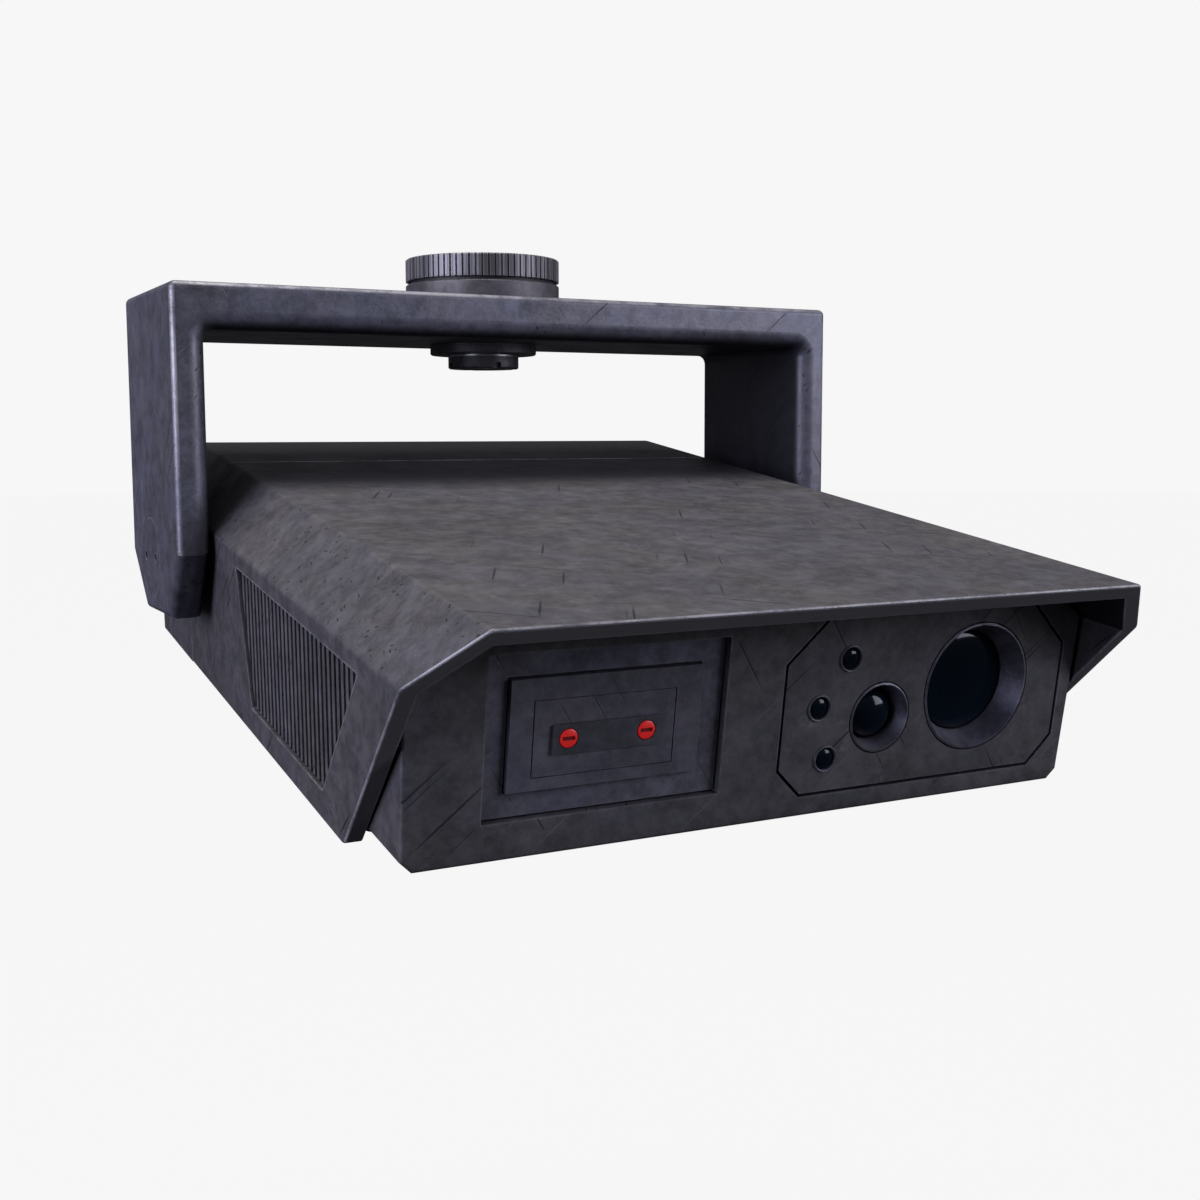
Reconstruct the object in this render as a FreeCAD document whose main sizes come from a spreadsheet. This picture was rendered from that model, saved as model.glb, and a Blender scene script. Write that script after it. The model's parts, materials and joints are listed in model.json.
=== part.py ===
"""Yoke-hung road radar and camera head: a raked housing that pans and tilts under a top mount.

World frame: +X right, +Y to the rear, +Z up, origin at the centre of the top mounting face,
on the pan axis.  The housing and all it holds are drawn in a level head frame whose origin is
on the tilt axis, and are then placed nose-down by the pitch angle.  Millimetres and degrees.
"""
import FreeCAD, Part
import math
import os
import types

import Sketcher
from FreeCAD import Placement, Rotation, Vector

os.makedirs("parts", exist_ok=True)
doc = FreeCAD.newDocument("radar_head")

DRIVING = {
    # top mount and pan bearing
    "ring_radius": 39.9, "ring_height": 11.4, "knurl_depth": 1.3, "knurl_count": 76,
    "groove_radius": 37.6, "groove_height": 1.8, "collar_height": 10.1,
    "head_disc_radius": 32.0, "head_disc_height": 9.0, "spindle_radius": 14.0,
    "thread_radius": 12.0, "cable_bore_radius": 7.0, "mount_circle_radius": 23.0,
    "mount_hole_radius": 2.5, "mount_hole_depth": 8.0, "bush_wall": 3.0,
    "flange_radius": 27.7, "flange_height": 4.9, "washer_height": 1.0,
    "nut_radius": 18.4, "nut_height": 6.1, "screw_circle_radius": 22.6,
    # yoke
    "yoke_half": 175.0, "leg_thick": 15.6, "bar_thick": 20.6, "yoke_front": -62.9,
    "yoke_rear": 37.5, "leg_drop": 150.0, "front_taper_depth": 20.5, "front_taper_rise": 30.0,
    "rear_taper_depth": 28.5, "rear_taper_rise": 26.5, "yoke_inner_round": 8.0,
    "yoke_edge_round": 3.2, "yoke_corner_round": 5.0,
    # tilt axis
    "pivot_y": -4.0, "pivot_drop": 124.4, "pitch": 8.27, "pivot_radius": 6.0,
    "cap_radius": 19.0, "cap_thick": 2.0, "bolt_head_radius": 11.0, "bolt_head_thick": 3.0,
    "boss_radius": 12.5, "boss_face": 157.6,
    # housing outline in the head frame
    "top_z": 43.9, "shoulder_z": 21.5, "skirt_z": -55.2, "top_half": 137.8,
    "shoulder_half": 160.0, "skirt_half": 156.1, "nose_y": -312.0, "rear_y": 74.2,
    "rake": 0.796, "taper": 2.8, "shell": 6.5, "seam_y": 6.3, "seam_gap": 0.6,
    # lower body
    "face_y": -271.4, "face_thick": 8.0, "face_top_z": 36.8, "face_top_half": 130.2,
    "face_shoulder_z": 20.5, "face_shoulder_half": 151.0, "floor_z": -51.7,
    "floor_half": 149.1, "floor_thick": 4.0, "face_corner": 4.4,
    # front openings
    "inset_depth": 5.0, "frame_recess": 2.8, "cover_recess": 0.6, "panel_groove": 1.3,
    "frame_groove": 0.8, "ring_gap": 0.6, "inset_ledge": 4.0,
    # softened edges
    "fold_round": 3.0, "rim_round": 0.9, "heel_round": 7.0, "pan_round": 1.4,
    "rear_round": 2.0,
    # chassis
    "chassis_z": -40.0, "chassis_thick": 3.0, "chassis_half": 134.0, "board_thick": 1.6,
    "board_front": -257.4,
    # screws
    "screw_hole": 2.1, "screw_shank": 2.0, "screw_head": 3.4, "screw_seat": 3.6,
    "screw_head_high": 2.4, "screw_socket": 1.7, "flange_seat": 3.0, "flange_bite": 7.0,
}


class Size:
    """A dimension that knows its number and the sheet expression that gives it."""

    def __init__(self, number, text):
        self.number = float(number)
        self.text = text

    def _join(self, other, sign, number):
        return Size(number, "(" + self.text + sign + size(other).text + ")")

    def __add__(self, other):
        return self._join(other, " + ", self.number + size(other).number)

    def __radd__(self, other):
        return size(other) + self

    def __sub__(self, other):
        return self._join(other, " - ", self.number - size(other).number)

    def __rsub__(self, other):
        return size(other) - self

    def __mul__(self, other):
        return self._join(other, " * ", self.number * size(other).number)

    def __rmul__(self, other):
        return size(other) * self

    def __truediv__(self, other):
        return self._join(other, " / ", self.number / size(other).number)

    def __neg__(self):
        return 0 - self


def size(value):
    """A plain number is a size too."""
    return value if isinstance(value, Size) else Size(value, "(%.6f)" % value)


def make_sheet():
    """Write the driving dimensions to the sheet and hand them back as sizes by name."""
    sheet = doc.addObject("Spreadsheet::Sheet", "sizes")
    names = types.SimpleNamespace()
    for row, (alias, number) in enumerate(DRIVING.items(), start=1):
        sheet.set("A%d" % row, alias)
        sheet.set("B%d" % row, str(number))
        sheet.setAlias("B%d" % row, alias)
        setattr(names, alias, Size(number, "sizes." + alias))
    doc.recompute()
    return names


d = make_sheet()
PARTS = []


# ---------------------------------------------------------------- drawing helpers

def new_body(label, place=None):
    body = doc.addObject("PartDesign::Body", label)
    body.Label = label
    body.AllowCompound = True
    body.Placement = place if place is not None else Placement()
    PARTS.append(body)
    return body


def origin_feature(body, role):
    return next(item for item in body.Origin.OriginFeatures if item.Role == role)


def hold(sketch, kind, line, point, axis_line, value):
    """Fix one coordinate of a sketch point to a size, measured from the origin."""
    value = size(value)
    if abs(value.number) < 1e-9:
        sketch.addConstraint(Sketcher.Constraint("PointOnObject", line, point, axis_line))
        return
    if value.number > 0:
        ends = (-1, 1, line, point)
    else:
        ends = (line, point, -1, 1)
        value = -value
    index = sketch.addConstraint(Sketcher.Constraint(kind, *ends, value.number))
    sketch.setExpression("Constraints[%d]" % index, value.text)


def draw_polygon(sketch, points):
    corners = [Vector(size(u).number, size(v).number, 0) for u, v in points]
    count = len(corners)
    first = sketch.GeometryCount
    for index in range(count):
        line = Part.LineSegment(corners[index], corners[(index + 1) % count])
        sketch.addGeometry(line, False)
    for index in range(count):
        following = first + (index + 1) % count
        sketch.addConstraint(Sketcher.Constraint("Coincident", first + index, 2, following, 1))
    for index, (u, v) in enumerate(points):
        hold(sketch, "DistanceX", first + index, 1, -2, u)
        hold(sketch, "DistanceY", first + index, 1, -1, v)


def draw_circle(sketch, u, v, radius):
    centre = Vector(size(u).number, size(v).number, 0)
    index = sketch.addGeometry(Part.Circle(centre, Vector(0, 0, 1), size(radius).number), False)
    hold(sketch, "DistanceX", index, 3, -2, u)
    hold(sketch, "DistanceY", index, 3, -1, v)
    fixed = sketch.addConstraint(Sketcher.Constraint("Radius", index, size(radius).number))
    sketch.setExpression("Constraints[%d]" % fixed, size(radius).text)


PLANES = {"x": "YZ_Plane", "y": "XZ_Plane", "z": "XY_Plane"}


def new_sketch(body, axis, station, shapes):
    """A sketch square to an axis at a station on it; a shape is a polygon or a circle."""
    sketch = body.newObject("Sketcher::SketchObject", body.Label + "_sketch")
    sketch.AttachmentSupport = [(origin_feature(body, PLANES[axis]), "")]
    sketch.MapMode = "FlatFace"
    offset = -size(station) if axis == "y" else size(station)
    sketch.AttachmentOffset = Placement(Vector(0, 0, offset.number), Rotation())
    sketch.setExpression("AttachmentOffset.Base.z", offset.text)
    for shape in shapes:
        if isinstance(shape, tuple):
            draw_circle(sketch, *shape)
        else:
            draw_polygon(sketch, shape)
    return sketch


def slab(body, axis, low, high, *shapes):
    """Pad shapes from the low to the high station on an axis."""
    start = high if axis == "y" else low
    sketch = new_sketch(body, axis, start, shapes)
    pad = body.newObject("PartDesign::Pad", body.Label + "_pad")
    pad.Profile = sketch
    pad.setExpression("Length", (size(high) - low).text)
    return pad


def cut(body, axis, low, high, *shapes):
    """Cut shapes out from the low to the high station on an axis, and prove that it cut."""
    start = low if axis == "y" else high
    doc.recompute()
    before = body.Shape.Volume
    sketch = new_sketch(body, axis, start, shapes)
    pocket = body.newObject("PartDesign::Pocket", body.Label + "_pocket")
    pocket.Profile = sketch
    pocket.setExpression("Length", (size(high) - low).text)
    doc.recompute()
    if body.Shape.Volume >= before - 1e-3:
        raise RuntimeError(body.Label + ": a pocket along " + axis + " cut nothing")
    return pocket


def slab_x(body, mirror, inner, outer, *shapes):
    """Pad across X on the side that mirror gives, between two distances from the middle."""
    low, high = sorted((mirror * inner, mirror * outer), key=lambda s: s.number)
    return slab(body, "x", low, high, *shapes)


def cut_x(body, mirror, inner, outer, *shapes):
    low, high = sorted((mirror * inner, mirror * outer), key=lambda s: s.number)
    return cut(body, "x", low, high, *shapes)


def turn(body, points):
    """Turn an outline of (radius, height) points about the body's own Z axis."""
    sketch = new_sketch(body, "y", 0, [points])
    turned = body.newObject("PartDesign::Revolution", body.Label + "_turned")
    turned.Profile = sketch
    turned.ReferenceAxis = (origin_feature(body, "Z_Axis"), [""])
    turned.Angle = 360
    return turned


def wedge(body, low, high, half_outline, cutting=False):
    """Pad or cut a section whose side walls come in evenly towards the rear.

    The right half of the section, drawn at the low station, is swept obliquely, and the left
    half is its mirror image, so that every wall stays flat.
    """
    doc.recompute()
    before = body.Shape.Volume if cutting else 0
    kind = "PartDesign::Pocket" if cutting else "PartDesign::Pad"
    for mirror in (1, -1):
        outline = [(mirror * u, v) for u, v in half_outline]
        sketch = new_sketch(body, "y", low, [outline])
        swept = body.newObject(kind, body.Label + "_wedge")
        swept.Profile = sketch
        swept.UseCustomVector = True
        swept.Direction = Vector(-mirror * side_slope.number, 1, 0)
        swept.setExpression("Direction.x", (-mirror * side_slope).text)
        swept.AlongSketchNormal = True
        swept.setExpression("Length", (size(high) - low).text)
    if cutting:
        doc.recompute()
        if body.Shape.Volume >= before - 1e-3:
            raise RuntimeError(body.Label + ": an oblique pocket cut nothing")


def ring_pattern(body, feature, count):
    pattern = body.newObject("PartDesign::PolarPattern", body.Label + "_ring")
    pattern.Originals = [feature]
    pattern.Axis = (origin_feature(body, "Z_Axis"), [""])
    pattern.Angle = 360
    pattern.setExpression("Occurrences", size(count).text)
    body.Tip = pattern
    return pattern


def edges_where(shape, test, along):
    """Names of the edges whose two ends pass a test, of those along one axis if it is given."""
    names = []
    for number, edge in enumerate(shape.Edges, start=1):
        ends = [end.Point for end in edge.Vertexes]
        if len(ends) != 2 or not all(test(end) for end in ends):
            continue
        run = ends[1] - ends[0]
        if along is None or abs(getattr(run, along)) > 0.99 * run.Length:
            names.append("Edge%d" % number)
    return names


def dress(body, kind, radius, test, along=None):
    """Round ("Fillet") or bevel ("Chamfer") the edges whose ends pass a test."""
    doc.recompute()
    base = body.Tip
    names = edges_where(base.Shape, test, along)
    if not names:
        raise RuntimeError(body.Label + ": no edge to dress")
    dressed = body.newObject("PartDesign::" + kind, body.Label + "_edge")
    dressed.Base = (base, names)
    dressed.setExpression("Radius" if kind == "Fillet" else "Size", size(radius).text)
    body.Tip = dressed
    return dressed


def box_outline(left, right, low, high):
    return [(left, low), (right, low), (right, high), (left, high)]


def hexagon(u, v, radius):
    """Six corners of a hexagon of a given corner radius."""
    corners = []
    for index in range(6):
        angle = math.radians(60 * index)
        corners.append((u + radius * math.cos(angle), v + radius * math.sin(angle)))
    return corners


def near(value, target, slack=0.05):
    return abs(value - size(target).number) < slack


# ---------------------------------------------------------------- shared places

ring_base_z = -d.ring_height
collar_top_z = ring_base_z - d.groove_height
bar_top_z = collar_top_z - d.collar_height
bar_low_z = bar_top_z - d.bar_thick
flange_low_z = bar_low_z - d.flange_height
washer_low_z = flange_low_z - d.washer_height
nut_low_z = washer_low_z - d.nut_height
yoke_inner = d.yoke_half - d.leg_thick
leg_low_z = bar_top_z - d.leg_drop
pivot_z = bar_top_z - d.pivot_drop
side_slope = d.taper / (d.rear_y - d.nose_y)
bush_radius = d.pivot_radius + 2
head_seat = d.yoke_half - d.cap_thick - d.bolt_head_thick - 0.4
bearing_bore = d.spindle_radius + d.bush_wall
running = 0.05
small_edge = 0.6
SIDES = {"left": -1, "right": 1}

HEAD = Placement(Vector(0, d.pivot_y.number, pivot_z.number),
                 Rotation(Vector(1, 0, 0), d.pitch.number))


def facing_front(x, y, z):
    """Head-frame place for a piece turned about its own Z, with that Z pointing forward."""
    return HEAD.multiply(Placement(Vector(x, y, z), Rotation(Vector(1, 0, 0), 90)))


# ---------------------------------------------------------------- top mount and pan bearing

def mount_spindle():
    body = new_body("mount_spindle")
    step_z = washer_low_z
    turn(body, [(d.cable_bore_radius, 0), (d.head_disc_radius, 0),
                (d.head_disc_radius, -d.head_disc_height),
                (d.spindle_radius, -d.head_disc_height), (d.spindle_radius, step_z),
                (d.thread_radius, step_z), (d.thread_radius, nut_low_z + small_edge),
                (d.cable_bore_radius, nut_low_z + small_edge)])
    hole = cut(body, "z", -d.mount_hole_depth, 0, (d.mount_circle_radius, 0, d.mount_hole_radius))
    ring_pattern(body, hole, 4)


def knurled_ring():
    body = new_body("knurled_ring")
    bore = d.head_disc_radius + running
    lip_bore = d.spindle_radius + 0.4
    lip_z = -d.head_disc_height - 2 * running
    top_z = -0.2
    turn(body, [(bore, top_z), (d.ring_radius - small_edge, top_z),
                (d.ring_radius, top_z - small_edge), (d.ring_radius, ring_base_z),
                (lip_bore, ring_base_z), (lip_bore, lip_z), (bore, lip_z)])
    pitch = 2 * math.pi * d.ring_radius / d.knurl_count
    root, root_half = d.ring_radius - d.knurl_depth, pitch * 0.0825
    tip, tip_half = d.ring_radius + 1, pitch * 0.231
    groove = cut(body, "z", ring_base_z - 1, 1,
                 [(root, -root_half), (tip, -tip_half), (tip, tip_half), (root, root_half)])
    ring_pattern(body, groove, d.knurl_count)


def brake_ring():
    body = new_body("brake_ring")
    slab(body, "z", collar_top_z, ring_base_z - running, (0, 0, d.groove_radius),
         (0, 0, bearing_bore + 2))


def base_collar():
    body = new_body("base_collar")
    turn(body, [(bearing_bore, bar_top_z), (d.ring_radius, bar_top_z),
                (d.ring_radius, collar_top_z - small_edge),
                (d.ring_radius - small_edge, collar_top_z), (bearing_bore, collar_top_z)])
    hole = cut(body, "z", bar_top_z, bar_top_z + d.flange_bite,
               (d.screw_circle_radius, 0, d.screw_shank))
    ring_pattern(body, hole, 4)


def pan_bush(label, low, high):
    body = new_body(label)
    slab(body, "z", low, high, (0, 0, bearing_bore), (0, 0, d.spindle_radius + 0.8 * running))


def lower_flange():
    body = new_body("lower_flange")
    turn(body, [(bearing_bore, flange_low_z), (d.flange_radius - small_edge, flange_low_z),
                (d.flange_radius, flange_low_z + small_edge), (d.flange_radius, bar_low_z),
                (bearing_bore, bar_low_z)])
    hole = cut(body, "z", flange_low_z, bar_low_z, (d.screw_circle_radius, 0, d.screw_hole))
    ring_pattern(body, hole, 4)
    seat = cut(body, "z", flange_low_z, flange_low_z + d.flange_seat,
               (d.screw_circle_radius, 0, d.screw_seat))
    ring_pattern(body, seat, 4)


SOCKET_DEPTH = 1.5


def flange_screw_places():
    """The four places round the pan axis where the flange, the bar and the collar are joined."""
    angles = [math.radians(90 * index) for index in range(4)]
    return [(d.screw_circle_radius * math.cos(angle), d.screw_circle_radius * math.sin(angle))
            for angle in angles]


def flange_screws():
    body = new_body("flange_screws")
    head_low = flange_low_z + 0.3
    head_top = flange_low_z + d.flange_seat
    for u, v in flange_screw_places():
        slab(body, "z", head_low, head_top, (u, v, d.screw_head))
        slab(body, "z", head_top, bar_top_z + d.flange_bite - 0.5, (u, v, d.screw_shank))
        cut(body, "z", head_low, head_low + SOCKET_DEPTH, hexagon(u, v, d.screw_socket.number))


def thrust_washer():
    body = new_body("thrust_washer")
    slab(body, "z", washer_low_z, flange_low_z - running, (0, 0, d.nut_radius - small_edge),
         (0, 0, d.spindle_radius + running))


def spindle_nut():
    body = new_body("spindle_nut")
    slot_deep, slot_half, slot_high = 2.2, 2.0, 3.0
    turn(body, [(d.thread_radius, nut_low_z), (d.nut_radius - small_edge, nut_low_z),
                (d.nut_radius, nut_low_z + small_edge), (d.nut_radius, washer_low_z),
                (d.thread_radius, washer_low_z)])
    slot = cut(body, "z", nut_low_z, nut_low_z + slot_high,
               box_outline(d.nut_radius - slot_deep, d.nut_radius + 1, -slot_half, slot_half))
    ring_pattern(body, slot, 4)


# ---------------------------------------------------------------- yoke and tilt pivots

def leg_tapers():
    """The two corners that the feet of both legs lose, seen from the side."""
    below = leg_low_z - 5
    front_foot = d.yoke_front + d.front_taper_depth
    front_knee = leg_low_z + d.front_taper_rise
    rear_foot = d.yoke_rear - d.rear_taper_depth
    rear_knee = leg_low_z + d.rear_taper_rise
    front = [(d.yoke_front - 5, below), (front_foot, below), (front_foot, leg_low_z),
             (d.yoke_front, front_knee), (d.yoke_front - 5, front_knee)]
    rear = [(d.yoke_rear + 5, below), (d.yoke_rear + 5, rear_knee), (d.yoke_rear, rear_knee),
            (rear_foot, leg_low_z), (rear_foot, below)]
    return front, rear


def on_inner_side(p):
    """True for a point of the yoke's window, legs and bar alike."""
    return abs(p.x) < yoke_inner.number + 0.1 and p.z < bar_low_z.number + 0.1


def on_outer_side(p):
    return near(abs(p.x), d.yoke_half) or near(p.z, bar_top_z)


def ahead(p):
    """True for a point of the yoke's front face or of the slant below it."""
    return p.y < d.yoke_front.number + d.front_taper_depth.number + 0.1


def yoke():
    body = new_body("yoke")
    slab(body, "y", d.yoke_front, d.yoke_rear,
         [(-d.yoke_half, leg_low_z), (-yoke_inner, leg_low_z), (-yoke_inner, bar_low_z),
          (yoke_inner, bar_low_z), (yoke_inner, leg_low_z), (d.yoke_half, leg_low_z),
          (d.yoke_half, bar_top_z), (-d.yoke_half, bar_top_z)])
    far = d.yoke_half + 5
    for taper in leg_tapers():
        cut(body, "x", -far, far, taper)
    dress(body, "Fillet", d.yoke_corner_round,
          lambda p: near(abs(p.x), yoke_inner) and near(p.z, bar_low_z), along="y")
    dress(body, "Fillet", d.yoke_inner_round, lambda p: ahead(p) and on_inner_side(p))
    dress(body, "Fillet", d.yoke_inner_round * 0.4,
          lambda p: near(p.y, d.yoke_rear) and on_inner_side(p))
    dress(body, "Fillet", d.yoke_edge_round, on_outer_side)
    cut(body, "z", bar_low_z, bar_top_z, (0, 0, d.spindle_radius + 1))
    for u, v in flange_screw_places():
        cut(body, "z", bar_low_z, bar_top_z, (u, v, d.screw_hole))
    for mirror in (-1, 1):
        for inner, radius in ((yoke_inner - 1, bush_radius), (head_seat, d.bolt_head_radius + 1),
                              (d.yoke_half - d.cap_thick, d.cap_radius + 0.3)):
            cut_x(body, mirror, inner, d.yoke_half, (d.pivot_y, pivot_z, radius))


def tilt_bushes():
    body = new_body("tilt_bushes")
    for mirror in (-1, 1):
        slab_x(body, mirror, yoke_inner, head_seat, (d.pivot_y, pivot_z, bush_radius),
               (d.pivot_y, pivot_z, d.pivot_radius + running))


def pivot_caps():
    body = new_body("pivot_caps")
    spanner_hole = 2.2
    spanner_reach = d.cap_radius * 0.55
    for mirror in (-1, 1):
        slab_x(body, mirror, d.yoke_half - d.cap_thick, d.yoke_half - 0.1,
               (d.pivot_y, pivot_z, d.cap_radius))
        for offset in (-spanner_reach, spanner_reach):
            cut_x(body, mirror, d.yoke_half - 1.4, d.yoke_half,
                  (d.pivot_y + offset, pivot_z, spanner_hole))


def friction_washers():
    body = new_body("friction_washers")
    for mirror in (-1, 1):
        slab_x(body, mirror, d.boss_face + 0.1, yoke_inner, (d.pivot_y, pivot_z, d.boss_radius),
               (d.pivot_y, pivot_z, d.pivot_radius + 2 * running))


BOLT_BITE = 26


def pivot_bolts():
    body = new_body("pivot_bolts", HEAD)
    seat = head_seat + 0.2
    for mirror in (-1, 1):
        slab_x(body, mirror, d.boss_face - BOLT_BITE, seat, (0, 0, d.pivot_radius))
        slab_x(body, mirror, seat, d.yoke_half - d.cap_thick - 0.2, (0, 0, d.bolt_head_radius))


# ---------------------------------------------------------------- housing shells

def narrowing(y):
    """How far the side walls have come in at a place along the housing."""
    return side_slope * (y - d.nose_y)


def shell_outline(y):
    """Right half of the housing's cross-section at a place along it."""
    slim = narrowing(y)
    return [(0, d.skirt_z), (d.skirt_half - slim, d.skirt_z),
            (d.shoulder_half - slim, d.shoulder_z), (d.top_half - slim, d.top_z), (0, d.top_z)]


def hollow_outline(y, wall, floor):
    """The same half section one wall thickness further in, down to a floor level."""
    slim = narrowing(y)
    side = d.skirt_half - slim - wall
    shoulder = d.shoulder_half - slim - 1.03 * wall
    top = d.top_half - slim - 0.416 * wall
    return [(0, floor), (side, floor), (shoulder, d.shoulder_z - 0.38 * wall),
            (top, d.top_z - wall), (0, d.top_z - wall)]


GRILLE_CORNERS = [(-90.5, 14.5), (-108.6, -43.2), (-208.7, -43.2), (-252.6, 14.5)]


HOOD_BOSSES = (-230, -70)
REAR_BOSS = 50
BOSS_REACH = 11
BOSS_LONG = 10
BOSS_HIGH = 15.5


def boss_middle(y):
    """How far out from the middle the screws through the floor go up into the side walls."""
    return d.skirt_half - narrowing(size(y)) - d.shell - BOSS_REACH / 2


def screw_boss(body, mirror, y):
    """A block inside the side wall that a screw from below goes into."""
    middle = boss_middle(y)
    foot = d.floor_z + d.floor_thick + 0.2
    low, high = sorted((mirror * (middle - BOSS_REACH / 2), mirror * (middle + BOSS_REACH)),
                       key=lambda s: s.number)
    slab(body, "z", foot, foot + BOSS_HIGH, box_outline(low, high, y - BOSS_LONG / 2,
                                                        y + BOSS_LONG / 2))
    cut(body, "z", foot, foot + BOSS_HIGH - 1.5, (mirror * middle, y, d.screw_shank))


def pivot_openings(body):
    cut(body, "x", -d.shoulder_half - 2, d.shoulder_half + 2, (0, 0, d.boss_radius + 0.4))


def on_outside(p):
    """True for a point of the housing's outer skin, seen across it."""
    y, z = p.y, p.z
    lean = (d.shoulder_half - d.skirt_half).number / (d.shoulder_z - d.skirt_z).number
    slant = (d.shoulder_half - d.top_half).number / (d.top_z - d.shoulder_z).number
    if z > d.shoulder_z.number:
        half = d.top_half.number + slant * (d.top_z.number - z)
    else:
        half = d.shoulder_half.number - lean * (d.shoulder_z.number - z)
    return z > d.top_z.number - 1 or abs(p.x) > half - narrowing(size(y)).number - 1


def round_folds(body):
    """Soften the four long folds of a shell."""
    dress(body, "Fillet", d.fold_round,
          lambda p: on_outside(p) and (near(p.z, d.top_z) or near(p.z, d.shoulder_z))
          and abs(p.x) > 1, along="y")


def on_rake(p):
    """True for a point of the slanting plane that the hood's open front lies in."""
    return near((p.y - d.nose_y.number) - d.rake.number * (d.top_z.number - p.z), 0)


def hood():
    body = new_body("hood", HEAD)
    seam = d.seam_y - d.seam_gap / 2
    wedge(body, d.nose_y, seam, shell_outline(d.nose_y))
    round_folds(body)
    before_nose = d.nose_y - 10
    wedge(body, before_nose, seam + 5, hollow_outline(before_nose, d.shell, d.skirt_z - 1),
          cutting=True)
    drop = d.top_z - d.skirt_z + 5
    cut(body, "x", -d.shoulder_half - 5, d.shoulder_half + 5,
        [(d.nose_y - 5, d.top_z), (d.nose_y, d.top_z), (d.nose_y + d.rake * drop, d.top_z - drop),
         (d.nose_y - 5, d.top_z - drop)])
    dress(body, "Fillet", d.heel_round, lambda p: on_rake(p) and near(p.z, d.skirt_z), along="x")
    dress(body, "Fillet", d.rim_round, lambda p: on_rake(p) and on_outside(p))
    cut(body, "x", -d.shoulder_half - 5, d.shoulder_half + 5, GRILLE_CORNERS)
    pivot_openings(body)
    for mirror in (-1, 1):
        for y in HOOD_BOSSES:
            screw_boss(body, mirror, y)


def rear_hood():
    body = new_body("rear_hood", HEAD)
    seam = d.seam_y + d.seam_gap / 2
    back = d.rear_y - d.shell
    wedge(body, seam, d.rear_y, shell_outline(seam))
    round_folds(body)
    dress(body, "Fillet", d.rear_round, lambda p: near(p.y, d.rear_y) and on_outside(p)
          and p.z > d.skirt_z.number + 0.1)
    wedge(body, seam - 5, back, hollow_outline(seam - 5, d.shell, d.skirt_z - 1), cutting=True)
    cut(body, "y", back - 1, d.rear_y + 1, (GLAND_X, GLAND_Z, GLAND_THREAD + 0.2))
    cut(body, "y", back - 1, d.rear_y + 1, (-GLAND_X, GLAND_Z, VENT_THREAD + 0.2))
    pivot_openings(body)
    for mirror in (-1, 1):
        screw_boss(body, mirror, REAR_BOSS)


def seam_strip():
    """Rubber strip that bridges the two shells from inside."""
    body = new_body("seam_strip", HEAD)
    reach = 9
    foot_z = 16
    outer, inner = d.shell + 0.2, d.shell + 2.2
    low, high = d.seam_y - reach, d.seam_y + reach
    wedge(body, low, high, hollow_outline(low, outer, foot_z))
    wedge(body, low - 1, high + 1, hollow_outline(low - 1, inner, foot_z - 1), cutting=True)


# ---------------------------------------------------------------- lower body

def face_outline(y):
    """Right half of the lower body's front view, its lower corner bevelled."""
    slim = narrowing(y)
    corner = d.face_corner
    return [(0, d.floor_z), (d.floor_half - slim - corner, d.floor_z),
            (d.floor_half - slim + 0.1, d.floor_z + corner),
            (d.face_shoulder_half - slim, d.face_shoulder_z),
            (d.face_top_half - slim, d.face_top_z), (0, d.face_top_z)]


LENS_PANEL = [(13.8, -42.4), (130.2, -42.4), (141.7, -30.6), (141.7, 8.9), (123.8, 26.5),
              (20.5, 26.5), (3.0, 9.8), (3.0, -31.7)]
RADAR_LEFT, RADAR_RIGHT, RADAR_LOW, RADAR_HIGH = -119.2, -24.6, -36.6, 22.3
COVER_LEFT, COVER_RIGHT, COVER_LOW, COVER_HIGH = -110.8, -34.5, -27.2, 13.5
STRIP_LEFT, STRIP_RIGHT, STRIP_LOW, STRIP_HIGH = -94.5, -52.2, -14.5, -3.7
LOCK_X = {"left": -88.4, "right": -57.3}
LOCK_Z = -8.9
GLAND_X = 92
GLAND_Z = -18
GLAND_THREAD = 10
VENT_THREAD = 6


def grown(points, amount):
    """A convex outline moved outwards by an amount, corner by corner."""
    count = len(points)
    moved = []
    for index in range(count):
        before = Vector(*points[index - 1], 0)
        here = Vector(*points[index], 0)
        after = Vector(*points[(index + 1) % count], 0)
        first = (here - before).normalize()
        second = (after - here).normalize()
        out_first = Vector(first.y, -first.x, 0)
        out_second = Vector(second.y, -second.x, 0)
        bisector = out_first + out_second
        reach = amount / (bisector.Length / 2) ** 2 / 2
        moved.append((here.x + bisector.x * reach, here.y + bisector.y * reach))
    return moved


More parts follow.
